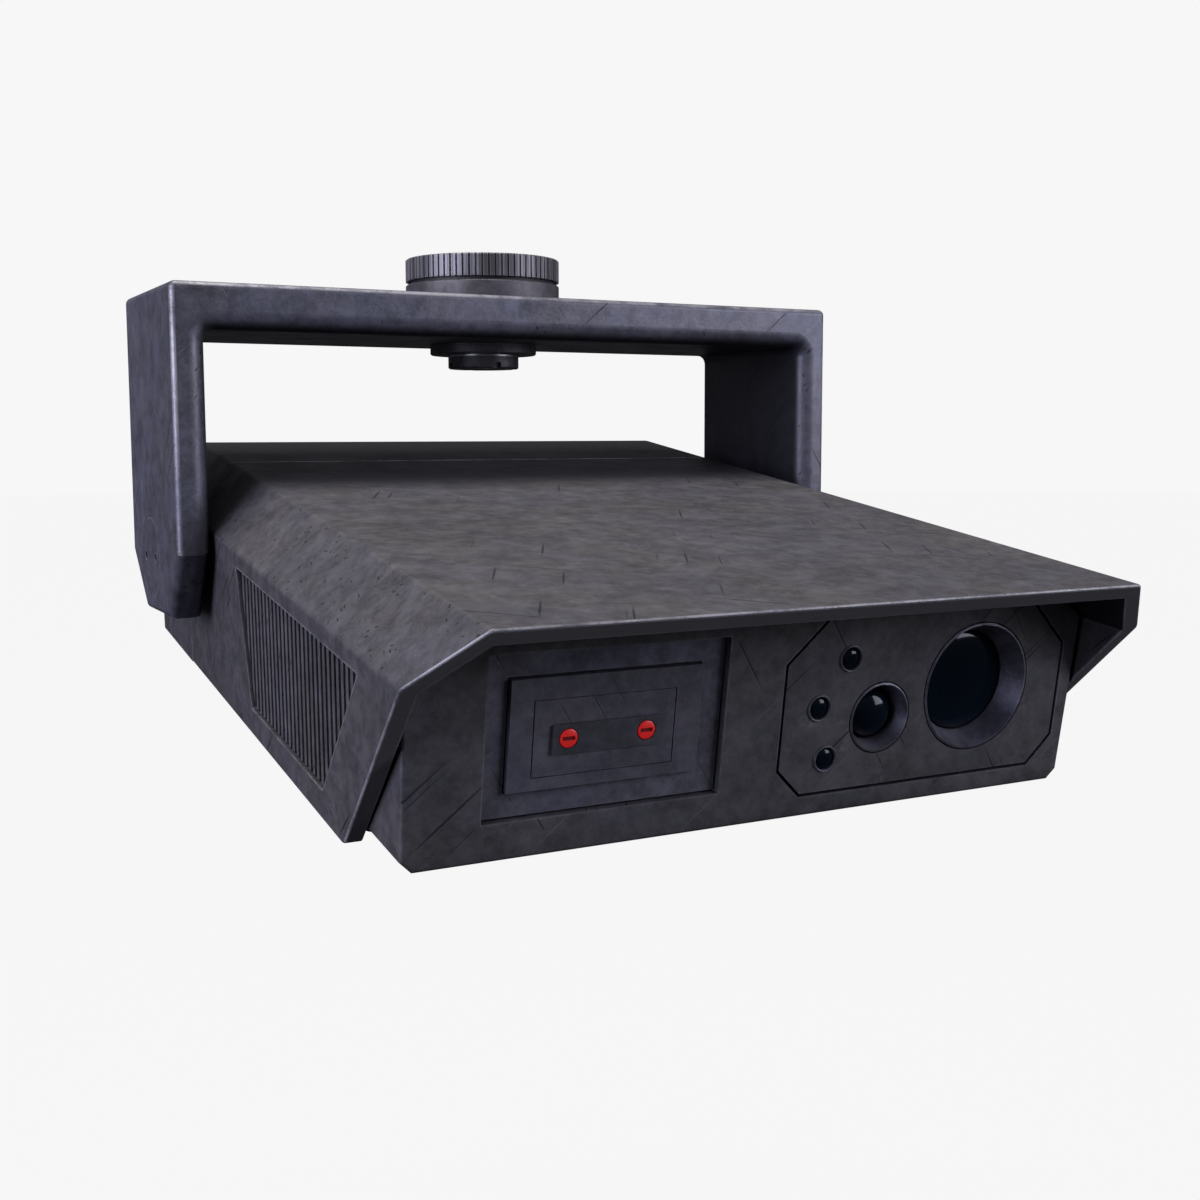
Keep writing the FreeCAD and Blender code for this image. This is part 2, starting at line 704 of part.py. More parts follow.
def base_pan():
    body = new_body("base_pan", HEAD)
    rear = d.rear_y - d.shell - 0.5
    wedge(body, d.face_y, rear, face_outline(d.face_y))
    dress(body, "Fillet", d.pan_round, lambda p: near(p.y, d.face_y) and abs(p.x) > 1
          or near(p.y, d.face_y) and near(p.z, d.floor_z))
    inside = d.floor_z + d.floor_thick
    cavity_start = d.face_y + d.face_thick
    slim = narrowing(cavity_start) + d.floor_thick
    cavity = [(0, inside), (d.floor_half - slim, inside),
              (d.face_shoulder_half - slim, d.face_shoulder_z),
              (d.face_top_half - slim, d.face_top_z - d.floor_thick),
              (0, d.face_top_z - d.floor_thick)]
    wedge(body, cavity_start, rear + 5, cavity, cutting=True)
    cheek_margin = 14
    cheek_low = d.nose_y + d.rake * (d.top_z - inside) + cheek_margin
    bend_y = cavity_start + 6
    bend_z = d.top_z - (bend_y - cheek_margin - d.nose_y) / d.rake
    cut(body, "x", -d.shoulder_half, d.shoulder_half,
        [(cheek_low, inside), (rear + 5, inside), (rear + 5, d.face_top_z + 5),
         (bend_y, d.face_top_z + 5), (bend_y, bend_z)])
    radar = box_outline(RADAR_LEFT, RADAR_RIGHT, RADAR_LOW, RADAR_HIGH)
    for outline, groove in ((radar, d.frame_groove), (LENS_PANEL, d.panel_groove)):
        cut(body, "y", d.face_y, d.face_y + d.inset_depth, grown(outline, groove.number))
        cut(body, "y", d.face_y, cavity_start + 1, grown(outline, -d.inset_ledge.number))
    room = 1.2
    boss_low = boss_middle(HOOD_BOSSES[0]) - BOSS_REACH / 2 - room
    for mirror in (-1, 1):
        left, right = sorted((mirror * boss_low, mirror * d.shoulder_half), key=lambda s: s.number)
        cut(body, "z", inside, inside + BOSS_HIGH + room,
            box_outline(left, right, HOOD_BOSSES[0] - BOSS_LONG / 2 - room,
                        HOOD_BOSSES[0] + BOSS_LONG / 2 + room))
    for x, y in chassis_feet() + hood_screw_places():
        cut(body, "z", d.floor_z, inside + 1, (x, y, d.screw_hole))
        cut(body, "z", d.floor_z, d.floor_z + d.screw_head_high, (x, y, d.screw_seat))


def chassis_feet():
    """The six floor places that hold the chassis plate up."""
    return [(x, y) for x in (-110, 110) for y in (-185, -75, 40)]


def hood_screw_places():
    """The places under the six bosses of the two shells."""
    return [(mirror * boss_middle(y), y) for y in HOOD_BOSSES + (REAR_BOSS,)
            for mirror in (-1, 1)]


def floor_screws(label, places, reach):
    """Socket-head screws that come up through the floor."""
    body = new_body(label, HEAD)
    head_low = d.floor_z + 0.2
    head_top = d.floor_z + d.screw_head_high
    for x, y in places:
        slab(body, "z", head_low, head_top, (x, y, d.screw_head))
        slab(body, "z", head_top, d.floor_z + d.floor_thick + reach, (x, y, d.screw_shank))
        cut(body, "z", head_low, head_low + SOCKET_DEPTH, hexagon(x, y, d.screw_socket.number))


# ---------------------------------------------------------------- side grilles

def wall_place(side):
    """Frame on the outer side wall: own X along the wall, own Y up it, own Z outwards."""
    sign = SIDES[side]
    lean = (d.shoulder_half - d.skirt_half).number / (d.shoulder_z - d.skirt_z).number
    slide = d.taper.number / (d.rear_y - d.nose_y).number
    up = Vector(sign * lean, 0, 1).normalize()
    along = Vector(-sign * slide, 1, 0).normalize() * sign
    out = along.cross(up).normalize()
    half = d.shoulder_half.number - d.shoulder_z.number * lean + d.nose_y.number * slide
    return HEAD.multiply(Placement(Vector(sign * half, 0, 0), Rotation(along, up, out, "ZXY")))


def along_wall(side, corners):
    """Head-frame (y, z) corners as the wall's own (x, y), kept anticlockwise."""
    sign = SIDES[side]
    return [(sign * y, z) for y, z in corners[::-sign]]


RIB_PITCH = 5.4
RIB_WIDTH = 2.7
RIB_GAP = 0.3
GRILLE_THICK = 2
RIB_SINK = 1.6
SCREEN_FRONT, SCREEN_BACK = 2.5, 4.0


def opening_floor(y):
    """Lower edge of the grille opening at a place along the wall."""
    (rear_y, top_z), (heel_y, low_z), (toe_y, _), (front_y, _) = GRILLE_CORNERS
    if y > heel_y:
        return low_z + (top_z - low_z) * (y - heel_y) / (rear_y - heel_y)
    if y < toe_y:
        return low_z + (top_z - low_z) * (toe_y - y) / (toe_y - front_y)
    return low_z


def grille(side):
    """Upright ribs across the opening, on a thin frame that sits against the wall's inside."""
    body = new_body("grille_" + side, wall_place(side))
    opening = along_wall(side, GRILLE_CORNERS)
    face = -d.shell - RIB_GAP
    back = face - GRILLE_THICK
    slab(body, "z", back, face, grown(opening, 3.0))
    cut(body, "z", back - 1, face + 1, grown(opening, -1.0))
    rear_y, top_z = GRILLE_CORNERS[0]
    front_y = GRILLE_CORNERS[3][0]
    count = int((rear_y - front_y) / RIB_PITCH) - 1
    for index in range(count):
        middle = front_y + RIB_PITCH * (index + 1)
        low, high = middle - RIB_WIDTH / 2, middle + RIB_WIDTH / 2
        rib = [(high, top_z - RIB_GAP), (high, opening_floor(high) + RIB_GAP),
               (low, opening_floor(low) + RIB_GAP), (low, top_z - RIB_GAP)]
        slab(body, "z", back, -RIB_SINK, along_wall(side, rib))


def dust_screen(side):
    body = new_body("dust_screen_" + side, wall_place(side))
    opening = along_wall(side, GRILLE_CORNERS)
    slab(body, "z", -d.shell - SCREEN_BACK, -d.shell - SCREEN_FRONT, grown(opening, 1.5))


# ---------------------------------------------------------------- radar side of the front

COVER_GAP = 0.6
COVER_BACK = 6.6
LOCK_BAR_FRONT, LOCK_BAR_BACK = 7.2, 9.2
LOCK_BAR_FOOT = 3.2
LOCK_HEAD, LOCK_SHANK = 3.5, 2.0
LOCK_BAR_REACH, LOCK_BAR_HALF = 3.8, 1.1
LOCK_SLOT_REACH, LOCK_SLOT_HALF = 2.5, 0.65
LOCK_FRONT, LOCK_UNDER_HEAD, LOCK_BACK = 0.7, -0.55, -11.1


def radar_frame():
    """Recessed frame round the cover, with a bar across behind it that the locks grip."""
    body = new_body("radar_frame", HEAD)
    front = d.face_y + d.frame_recess
    back = d.face_y + d.inset_depth
    slab(body, "y", front, back, box_outline(RADAR_LEFT, RADAR_RIGHT, RADAR_LOW, RADAR_HIGH))
    cut(body, "y", front - 1, back + 1,
        box_outline(COVER_LEFT - COVER_GAP, COVER_RIGHT + COVER_GAP, COVER_LOW - COVER_GAP,
                    COVER_HIGH + COVER_GAP))
    bar_front = d.face_y + LOCK_BAR_FRONT
    bar_back = d.face_y + LOCK_BAR_BACK
    bar_left, bar_right = COVER_LEFT - LOCK_BAR_FOOT - 1, COVER_RIGHT + LOCK_BAR_FOOT + 1
    for left in (bar_left, bar_right - LOCK_BAR_FOOT):
        slab(body, "y", back, bar_front,
             box_outline(left, left + LOCK_BAR_FOOT, STRIP_LOW, STRIP_HIGH))
    slab(body, "y", bar_front, bar_back, box_outline(bar_left, bar_right, STRIP_LOW, STRIP_HIGH))
    slot_half, slot_reach = LOCK_BAR_HALF + 0.4, LOCK_BAR_REACH + 0.4
    for x in LOCK_X.values():
        cut(body, "y", bar_front - 0.1, bar_back + 1,
            box_outline(x - slot_half, x + slot_half, LOCK_Z - slot_reach, LOCK_Z + slot_reach))
        cut(body, "y", bar_front - 0.1, bar_back + 1, (x, LOCK_Z, LOCK_SHANK + 0.3))


def radar_cover():
    """Plastic cover with a fine line sunk round its middle."""
    body = new_body("radar_cover", HEAD)
    front = d.face_y + d.cover_recess
    slab(body, "y", front, d.face_y + COVER_BACK,
         box_outline(COVER_LEFT, COVER_RIGHT, COVER_LOW, COVER_HIGH))
    line_left, line_right, line_low, line_high = -102.0, -45.0, -22.8, 5.8
    line_wide, line_deep = 0.5, 0.7
    cut(body, "y", front, front + line_deep,
        box_outline(line_left, line_right, line_low, line_high),
        box_outline(line_left + line_wide, line_right - line_wide, line_low + line_wide,
                    line_high - line_wide))
    for x in LOCK_X.values():
        cut(body, "y", front - 1, d.face_y + COVER_BACK + 0.4, (x, LOCK_Z, LOCK_SHANK + 0.1))


def lock_strip():
    body = new_body("lock_strip", HEAD)
    front = d.face_y - 0.4
    back = d.face_y + d.cover_recess
    slab(body, "y", front, back, box_outline(STRIP_LEFT, STRIP_RIGHT, STRIP_LOW, STRIP_HIGH))
    for x in LOCK_X.values():
        cut(body, "y", front - 1, back + 1, (x, LOCK_Z, LOCK_HEAD + 0.3))


def turn_lock(side):
    """Quarter-turn lock: slotted head, shank and the cross bar that grips behind the frame."""
    body = new_body("turn_lock_" + side, facing_front(LOCK_X[side], d.face_y.number, LOCK_Z))
    slab(body, "z", LOCK_UNDER_HEAD, LOCK_FRONT, (0, 0, LOCK_HEAD))
    slab(body, "z", LOCK_BACK, LOCK_UNDER_HEAD, (0, 0, LOCK_SHANK))
    slab(body, "z", LOCK_BACK, LOCK_BACK + 1.6,
         box_outline(-LOCK_BAR_REACH, LOCK_BAR_REACH, -LOCK_BAR_HALF, LOCK_BAR_HALF))
    cut(body, "z", 0, LOCK_FRONT + 0.1,
        box_outline(-LOCK_SLOT_REACH, LOCK_SLOT_REACH, -LOCK_SLOT_HALF, LOCK_SLOT_HALF))


ANTENNA = (-123.5, -21.0, -38.0, 24.5)
RADAR_BLOCK, RADAR_BLOCK_DEEP = (-104, -41, -24, 12), 24
RADAR_TUBE, RADAR_TUBE_DEEP = (-88, -57, -14, 2), 10


def antenna_board():
    body = new_body("antenna_board", HEAD)
    slab(body, "y", d.board_front, d.board_front + d.board_thick, box_outline(*ANTENNA))


def radar_module():
    body = new_body("radar_module", HEAD)
    front = d.board_front + d.board_thick
    middle = front + RADAR_BLOCK_DEEP
    slab(body, "y", front, middle, box_outline(*RADAR_BLOCK))
    slab(body, "y", middle, middle + RADAR_TUBE_DEEP, box_outline(*RADAR_TUBE))


# ---------------------------------------------------------------- camera side of the front

CAMERA = (97.4, -6.0)
LAMP = (49.1, -14.7)
SENSORS = ((32.0, 10.6), (19.2, -8.2), (24.3, -29.1))
CAMERA_RADIUS = 26.6
CAMERA_THROAT = 21.4
CAMERA_DEEP = 14
LAMP_RADIUS = 14.2
LAMP_THROAT = 10.9
LAMP_DEEP = 10
SENSOR_RADIUS = 5.4
SENSOR_BORE = 4.5


def on_camera(label):
    """A body turned about the camera's axis, own Z forward from the front face."""
    return new_body(label, facing_front(CAMERA[0], d.face_y.number, CAMERA[1]))


def on_lamp(label):
    return new_body(label, facing_front(LAMP[0], d.face_y.number, LAMP[1]))


def lens_panel():
    body = new_body("lens_panel", HEAD)
    front = d.face_y + 0.2
    back = d.face_y + d.inset_depth
    slab(body, "y", front, back, LENS_PANEL)
    holes = [(*CAMERA, CAMERA_RADIUS + d.ring_gap), (*LAMP, LAMP_RADIUS + d.ring_gap)]
    holes += [(*place, SENSOR_RADIUS) for place in SENSORS]
    cut(body, "y", front - 1, back + 1, *holes)


def bezel_outline(radius, throat, deep, lip, cone_foot):
    """Half outline of a ring with a conical mouth, its front lip just proud."""
    return [(radius - lip, 0.2), (radius, -0.1), (radius, -deep), (throat, -deep),
            (throat, cone_foot)]


def dome_outline(rim, base, rise, foot, step=15):
    """Half outline of a domed lens on a short cylinder."""
    angles = [math.radians(a) for a in range(0, 90, step)]
    arc = [(rim * math.cos(a), base + rise * math.sin(a)) for a in angles]
    return [(0, foot), (rim, foot)] + arc + [(0, base + rise)]


def camera_bezel():
    turn(on_camera("camera_bezel"),
         bezel_outline(CAMERA_RADIUS, CAMERA_THROAT, CAMERA_DEEP, 0.9, -9.6))


def camera_glass():
    turn(on_camera("camera_glass"),
         dome_outline(CAMERA_THROAT - 0.7, 1.4 - CAMERA_DEEP, 5.2, -CAMERA_DEEP, step=10))


BARREL_STEP, BARREL_BACK = -40, -66


def camera_barrel():
    body = on_camera("camera_barrel")
    wide, narrow = 26, 22
    wide_bore, narrow_bore = 20, 16
    turn(body, [(wide_bore, -CAMERA_DEEP), (wide, -CAMERA_DEEP), (wide, BARREL_STEP),
                (narrow, BARREL_STEP - 4), (narrow, BARREL_BACK), (narrow_bore, BARREL_BACK),
                (narrow_bore, BARREL_STEP), (wide_bore, BARREL_STEP + 2)])


def inner_lens():
    """Biconvex lens across the barrel's narrow bore."""
    rim, rim_front, rim_back = 15.9, BARREL_STEP - 5, BARREL_STEP - 7
    turn(on_camera("inner_lens"),
         [(0, rim_front + 3), (rim, rim_front), (rim, rim_back), (0, rim_back - 3)])


def camera_board():
    """Board behind the barrel, with the picture sensor on its front."""
    body = new_body("camera_board", HEAD)
    x, z = CAMERA
    front = d.face_y - BARREL_BACK
    half, chip_wide, chip_high, chip_thick = 25, 8, 6, 2.0
    slab(body, "y", front, front + d.board_thick,
         box_outline(x - half, x + half, z - half, z + half))
    slab(body, "y", front - chip_thick, front,
         box_outline(x - chip_wide, x + chip_wide, z - chip_high, z + chip_high))


def lamp_bezel():
    turn(on_lamp("lamp_bezel"), bezel_outline(LAMP_RADIUS, LAMP_THROAT, LAMP_DEEP, 0.7, -6.6))


def lamp_lens():
    turn(on_lamp("lamp_lens"), dome_outline(LAMP_THROAT - 0.5, 1.4 - LAMP_DEEP, 6.4, -LAMP_DEEP))


def lamp_module():
    slab(on_lamp("lamp_module"), "z", -LAMP_DEEP - 4, -LAMP_DEEP, (0, 0, 13))


def sensor_bezels():
    body = new_body("sensor_bezels", HEAD)
    for x, z in SENSORS:
        slab(body, "y", d.face_y, d.face_y + d.inset_depth, (x, z, SENSOR_RADIUS),
             (x, z, SENSOR_BORE))


SENSOR_LENS_STEPS = ((-4.8, -1.6, 4.4), (-1.6, -0.6, 3.7), (-0.6, 0.1, 2.6))


def sensor_lenses():
    """Stepped domes, each on its own foot."""
    body = new_body("sensor_lenses", facing_front(0, d.face_y.number, 0))
    for x, z in SENSORS:
        for low, high, radius in SENSOR_LENS_STEPS:
            slab(body, "z", low, high, (x, z, radius))


def sensor_diodes():
    body = new_body("sensor_diodes", HEAD)
    for x, z in SENSORS:
        slab(body, "y", d.face_y + d.inset_depth + 0.2, d.board_front, (x, z, 3.2))


def sensor_board():
    body = new_body("sensor_board", HEAD)
    slab(body, "y", d.board_front, d.board_front + d.board_thick, box_outline(8, 66, -40, 23))


def front_board_posts():
    """Spacers between the lower body's front wall and the two boards behind it."""
    body = new_body("front_board_posts", HEAD)
    antenna_places = [(x, z) for x in (-120.5, -23.8) for z in (-35.4, 21.4)]
    sensor_places = [(9.6, -40.5), (64, -40.5), (20, 24.0), (64, 24.0)]
    for x, z in antenna_places + sensor_places:
        slab(body, "y", d.face_y + d.face_thick, d.board_front, (x, z, 2.0))


# ---------------------------------------------------------------- inside the housing

def chassis_plate():
    body = new_body("chassis_plate", HEAD)
    top = d.chassis_z + d.chassis_thick
    slab(body, "z", d.chassis_z, top, box_outline(-d.chassis_half, d.chassis_half, -198, 58))
    for x, y in chassis_feet():
        cut(body, "z", d.chassis_z, top, (x, y, d.screw_hole))


def chassis_standoffs():
    body = new_body("chassis_standoffs", HEAD)
    for x, y in chassis_feet():
        slab(body, "z", d.floor_z + d.floor_thick, d.chassis_z, (x, y, 4.5),
             (x, y, d.screw_shank))


def tilt_block(side):
    body = new_body("tilt_block_" + side, HEAD)
    mirror = SIDES[side]
    foot = d.chassis_z + d.chassis_thick
    inner, outer = size(116), size(137)
    low, high = sorted((mirror * inner, mirror * outer), key=lambda s: s.number)
    slab(body, "x", low, high,
         [(-28, foot), (28, foot), (28, foot + 6), (14.5, 15), (-14.5, 15), (-28, foot + 6)])
    slab_x(body, mirror, outer, d.boss_face, (0, 0, d.boss_radius))
    cut_x(body, mirror, d.boss_face - BOLT_BITE, d.boss_face, (0, 0, d.pivot_radius))
    for y in (-22, 22):
        slab(body, "z", foot, foot + 6.5,
             ((low + high) / 2, y, 3.0))


chassis_top = d.chassis_z + d.chassis_thick
POST_HIGH = 6
board_low = chassis_top + POST_HIGH
board_top = board_low + d.board_thick
BOARD_HALF, BOARD_FRONT, BOARD_REAR = 100, -170, -30
SINK_HALF, SINK_FRONT, SINK_REAR = 36, -130, -70
SINK_BASE, SINK_HIGH, FIN_COUNT, FIN_PITCH, FIN_HALF = 4, 24, 9, 8.5, 1


def main_board():
    body = new_body("main_board", HEAD)
    slab(body, "z", board_low, board_top,
         box_outline(-BOARD_HALF, BOARD_HALF, BOARD_FRONT, BOARD_REAR))


def board_posts():
    body = new_body("board_posts", HEAD)
    inset = 6
    for x in (-BOARD_HALF + inset, BOARD_HALF - inset):
        for y in (BOARD_FRONT + inset, BOARD_REAR - inset):
            slab(body, "z", chassis_top, board_low, (x, y, 3))


def heat_sink():
    body = new_body("heat_sink", HEAD)
    slab(body, "z", board_top, board_top + SINK_BASE,
         box_outline(-SINK_HALF, SINK_HALF, SINK_FRONT, SINK_REAR))
    for index in range(FIN_COUNT):
        x = FIN_PITCH * (index - (FIN_COUNT - 1) / 2)
        slab(body, "z", board_top + SINK_BASE, board_top + SINK_HIGH,
             box_outline(x - FIN_HALF, x + FIN_HALF, SINK_FRONT, SINK_REAR))


def board_chips():
    body = new_body("board_chips", HEAD)
    for x, y, wide, deep, tall in ((-70, -140, 24, 24, 3), (-70, -95, 18, 30, 2.4),
                                   (66, -140, 30, 14, 9), (66, -100, 16, 16, 3),
                                   (66, -60, 40, 12, 11)):
        slab(body, "z", board_top, board_top + tall,
             box_outline(x - wide / 2, x + wide / 2, y - deep / 2, y + deep / 2))


def power_supply():
    body = new_body("power_supply", HEAD)
    half, front, rear, high = 62, -18, 46, 38
    slab(body, "z", chassis_top, chassis_top + high, box_outline(-half, half, front, rear))


# ---------------------------------------------------------------- rear fittings

def rear_place(x, z):
    """Head-frame place on the rear wall, own Z pointing to the rear."""
    return HEAD.multiply(Placement(Vector(x, d.rear_y.number, z), Rotation(Vector(1, 0, 0), -90)))


GLAND_BORE = 7
GLAND_FLANGE = 5
GLAND_COLLET, GLAND_COLLET_END = 9.2, 13
NUT_FLATS, NUT_BACK, NUT_FRONT, NUT_LIP = 13, 6, 14, 20
CORD_ROOM = 4.2


def gland_body():
    body = new_body("gland_body", rear_place(GLAND_X, GLAND_Z))
    slab(body, "z", -d.shell - 9, 0, (0, 0, GLAND_THREAD), (0, 0, GLAND_BORE))
    slab(body, "z", 0, GLAND_FLANGE, hexagon(0, 0, 14.5), (0, 0, GLAND_BORE))
    slab(body, "z", GLAND_FLANGE, GLAND_COLLET_END, (0, 0, GLAND_COLLET), (0, 0, GLAND_BORE))


def gland_nut():
    """Domed nut over the collet, notched round its rim."""
    body = new_body("gland_nut", rear_place(GLAND_X, GLAND_Z))
    bore = GLAND_COLLET + 0.1
    mouth = CORD_ROOM + 2
    inner = NUT_FRONT + 0.2
    turn(body, [(bore, NUT_BACK), (NUT_FLATS, NUT_BACK), (NUT_FLATS, NUT_FRONT), (10.4, NUT_LIP),
                (mouth, NUT_LIP), (mouth, inner), (bore, inner)])
    notch = cut(body, "z", NUT_BACK - 1, NUT_FRONT,
                box_outline(NUT_FLATS - 1, NUT_FLATS + 1, -1.2, 1.2))
    ring_pattern(body, notch, 12)


def gland_seal():
    body = new_body("gland_seal", rear_place(GLAND_X, GLAND_Z))
    slab(body, "z", 2, NUT_FRONT - 0.2, (0, 0, GLAND_BORE - 0.1), (0, 0, CORD_ROOM))


def gland_locknut():
    body = new_body("gland_locknut", rear_place(GLAND_X, GLAND_Z))
    slab(body, "z", -d.shell - 5, -d.shell, hexagon(0, 0, 15.5), (0, 0, GLAND_THREAD + running))


def vent_plug():
    """Breather with three slots across its round head."""
    body = new_body("vent_plug", rear_place(-GLAND_X, GLAND_Z))
    head_high, slot_reach, slot_wide, slot_pitch = 4, 7, 2.0, 3.6
    slab(body, "z", -d.shell - 4, 0, (0, 0, VENT_THREAD))
    slab(body, "z", 0, head_high, (0, 0, 9.5))
    for index in (-1, 0, 1):
        middle = slot_pitch * index
        cut(body, "z", head_high - 1.4, head_high,
            box_outline(-slot_reach, slot_reach, middle - slot_wide / 2, middle + slot_wide / 2))


# ---------------------------------------------------------------- build, check and write

def build_all():
    mount_spindle()
    knurled_ring()
    brake_ring()
    base_collar()
    pan_bush("pan_bush_upper", bar_top_z, collar_top_z)
    pan_bush("pan_bush_lower", flange_low_z, bar_low_z)
    lower_flange()
    flange_screws()
    thrust_washer()
    spindle_nut()
    yoke()
    tilt_bushes()
    pivot_caps()
    friction_washers()
    pivot_bolts()
    hood()
    rear_hood()
    seam_strip()
    base_pan()
    floor_screws("chassis_screws", chassis_feet(), 6)
    floor_screws("hood_screws", hood_screw_places(), 12)
    for side in SIDES:
        grille(side)
        dust_screen(side)
        tilt_block(side)
        turn_lock(side)
    radar_frame()
    radar_cover()
    lock_strip()
    antenna_board()
    radar_module()
    lens_panel()
    camera_bezel()
    camera_glass()
    camera_barrel()
    inner_lens()
    camera_board()
    lamp_bezel()
    lamp_lens()
    lamp_module()
    sensor_bezels()
    sensor_lenses()
    sensor_diodes()
    sensor_board()
    front_board_posts()
    chassis_plate()
    chassis_standoffs()
    main_board()
    board_posts()
    heat_sink()
    board_chips()
    power_supply()
    gland_body()
    gland_nut()
    gland_seal()
    gland_locknut()
    vent_plug()


def check_and_write():
    doc.recompute()
    for item in doc.Objects:
        if "Invalid" in item.State or "Error" in item.State:
            raise RuntimeError("failed: " + item.Label + " " + str(item.State))
    for part in PARTS:
        if part.Shape.isNull() or not part.Shape.isValid() or not part.Shape.Solids:
            raise RuntimeError("bad shape: " + part.Label)
        part.Shape.exportStep("parts/" + part.Label + ".step")
        box = part.Shape.BoundBox
        print("%-18s %2d solids  %9.0f mm3  x %7.1f %7.1f  y %7.1f %7.1f  z %7.1f %7.1f" % (
            part.Label, len(part.Shape.Solids), part.Shape.Volume,
            box.XMin, box.XMax, box.YMin, box.YMax, box.ZMin, box.ZMax))


build_all()
check_and_write()
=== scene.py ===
"""Looks of a yoke-hung radar camera head: stage, worn coats, glass and small turned pieces.

Metres, in the CAD frame: origin on the pan axis at the top mounting face, +Y to the rear.
"""
import json
import math

import bpy
from mathutils import Matrix, Vector


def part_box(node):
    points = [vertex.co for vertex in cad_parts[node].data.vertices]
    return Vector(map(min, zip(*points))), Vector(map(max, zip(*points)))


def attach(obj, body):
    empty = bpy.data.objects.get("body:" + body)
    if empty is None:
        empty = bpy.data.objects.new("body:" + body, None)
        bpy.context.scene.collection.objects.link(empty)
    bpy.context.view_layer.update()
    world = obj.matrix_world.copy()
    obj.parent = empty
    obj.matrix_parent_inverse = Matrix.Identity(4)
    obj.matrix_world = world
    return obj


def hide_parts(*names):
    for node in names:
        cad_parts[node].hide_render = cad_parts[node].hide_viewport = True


bl_info = {
    "name": "Radar camera head",
    "version": (1, 0, 0),
    "blender": (4, 5, 0),
    "location": "3D View > Sidebar > Radar head",
    "description": "Coats, glass and turned pieces for a yoke-hung radar camera head",
    "category": "Object",
}

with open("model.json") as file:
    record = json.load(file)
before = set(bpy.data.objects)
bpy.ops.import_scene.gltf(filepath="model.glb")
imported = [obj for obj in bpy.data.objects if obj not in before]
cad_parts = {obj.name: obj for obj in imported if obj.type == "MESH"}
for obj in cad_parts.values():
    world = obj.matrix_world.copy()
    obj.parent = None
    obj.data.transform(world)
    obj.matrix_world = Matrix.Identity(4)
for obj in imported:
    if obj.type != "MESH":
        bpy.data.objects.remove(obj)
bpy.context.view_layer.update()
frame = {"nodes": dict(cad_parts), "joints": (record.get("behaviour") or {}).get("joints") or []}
NODES = frame["nodes"]


def joint(name):
    return next(item for item in frame["joints"] if item["name"] == name)


LENS_AXIS = Vector(joint("lock_left_turn")["axis"])
TILT_CENTRE = Vector(joint("tilt")["pos_m"])
PITCH = math.atan2(-LENS_AXIS.z, -LENS_AXIS.y)
HEAD = Matrix.Translation(TILT_CENTRE) @ Matrix.Rotation(PITCH, 4, "X")
FORWARD = Matrix.Rotation(math.pi / 2, 4, "X")
MM = 0.001
RAKE = 0.796    # how far the hood's slanting front leans back for each unit of height


def rim_place():
    """Where the hood's slanting front lies: its own Y plus RAKE times its own Z."""
    to_head = HEAD.inverted()
    spots = [to_head @ vertex.co for vertex in NODES["hood"].data.vertices]
    return min(spot.y + RAKE * spot.z for spot in spots)


RIM_PLACE = rim_place()
YOKE_LOW, YOKE_HIGH = (Vector(corner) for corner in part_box("yoke"))
YOKE_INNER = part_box("friction_washers")[1][0]    # half the space between the yoke's legs
BAR_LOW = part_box("lower_flange")[1][2]           # underside of the yoke's bar


# ---------------------------------------------------------------- what a user would change

class RadarHeadSizes(bpy.types.PropertyGroup):
    dome_rise: bpy.props.FloatProperty(
        name="Sensor dome rise", description="How far a small sensor dome stands up",
        default=2.3 * MM, unit="LENGTH")
    rim_lip: bpy.props.FloatProperty(
        name="Sensor rim lip", description="How far a sensor's ring stands proud of the panel",
        default=0.5 * MM, unit="LENGTH")
    lamp_rise: bpy.props.FloatProperty(
        name="Lamp dome rise", description="Height of the flash lamp's domed glass",
        default=6.6 * MM, unit="LENGTH")
    window_rise: bpy.props.FloatProperty(
        name="Camera window rise", description="How far the camera's front glass bulges",
        default=3.0 * MM, unit="LENGTH")
    slot_depth: bpy.props.FloatProperty(
        name="Lock slot depth", description="Depth of the slot across a quarter-turn lock",
        default=0.7 * MM, unit="LENGTH")


class RadarHeadColours(bpy.types.PropertyGroup):
    coat: bpy.props.FloatVectorProperty(
        name="Coat", description="Satin gunmetal coat of the castings", subtype="COLOR",
        default=(0.088, 0.085, 0.092), min=0, max=1)
    yoke_coat: bpy.props.FloatVectorProperty(
        name="Yoke coat", description="Cooler coat of the yoke", subtype="COLOR",
        default=(0.084, 0.085, 0.110), min=0, max=1)
    # Worn metal colour, and also the colour of the painted highlights on the hood's rim and the
    # yoke's outer edges
    bare_and_highlight: bpy.props.FloatVectorProperty(
        name="Bare metal", description="Metal that shows where an edge has worn", subtype="COLOR",
        default=(0.46, 0.46, 0.49), min=0, max=1)
    # Dirt colour, and also the colour of painted shade: in crevices, on the hood's inner and
    # downward faces, under the yoke's bar and inside the yoke's window
    grime_and_shade: bpy.props.FloatVectorProperty(
        name="Grime", description="Dirt in marks and inner corners", subtype="COLOR",
        default=(0.009, 0.009, 0.013), min=0, max=1)
    cover: bpy.props.FloatVectorProperty(
        name="Radar cover", description="Radar-clear plastic cover", subtype="COLOR",
        default=(0.055, 0.055, 0.070), min=0, max=1)
    bezel: bpy.props.FloatVectorProperty(
        name="Bezel", description="Anodised lens bezels", subtype="COLOR",
        default=(0.085, 0.085, 0.110), min=0, max=1)
    glass: bpy.props.FloatVectorProperty(
        name="Lens glass", description="Dark coated glass", subtype="COLOR",
        default=(0.002, 0.006, 0.011), min=0, max=1)
    lock: bpy.props.FloatVectorProperty(
        name="Lock enamel", description="Red enamel of the quarter-turn locks", subtype="COLOR",
        default=(0.72, 0.018, 0.016), min=0, max=1)


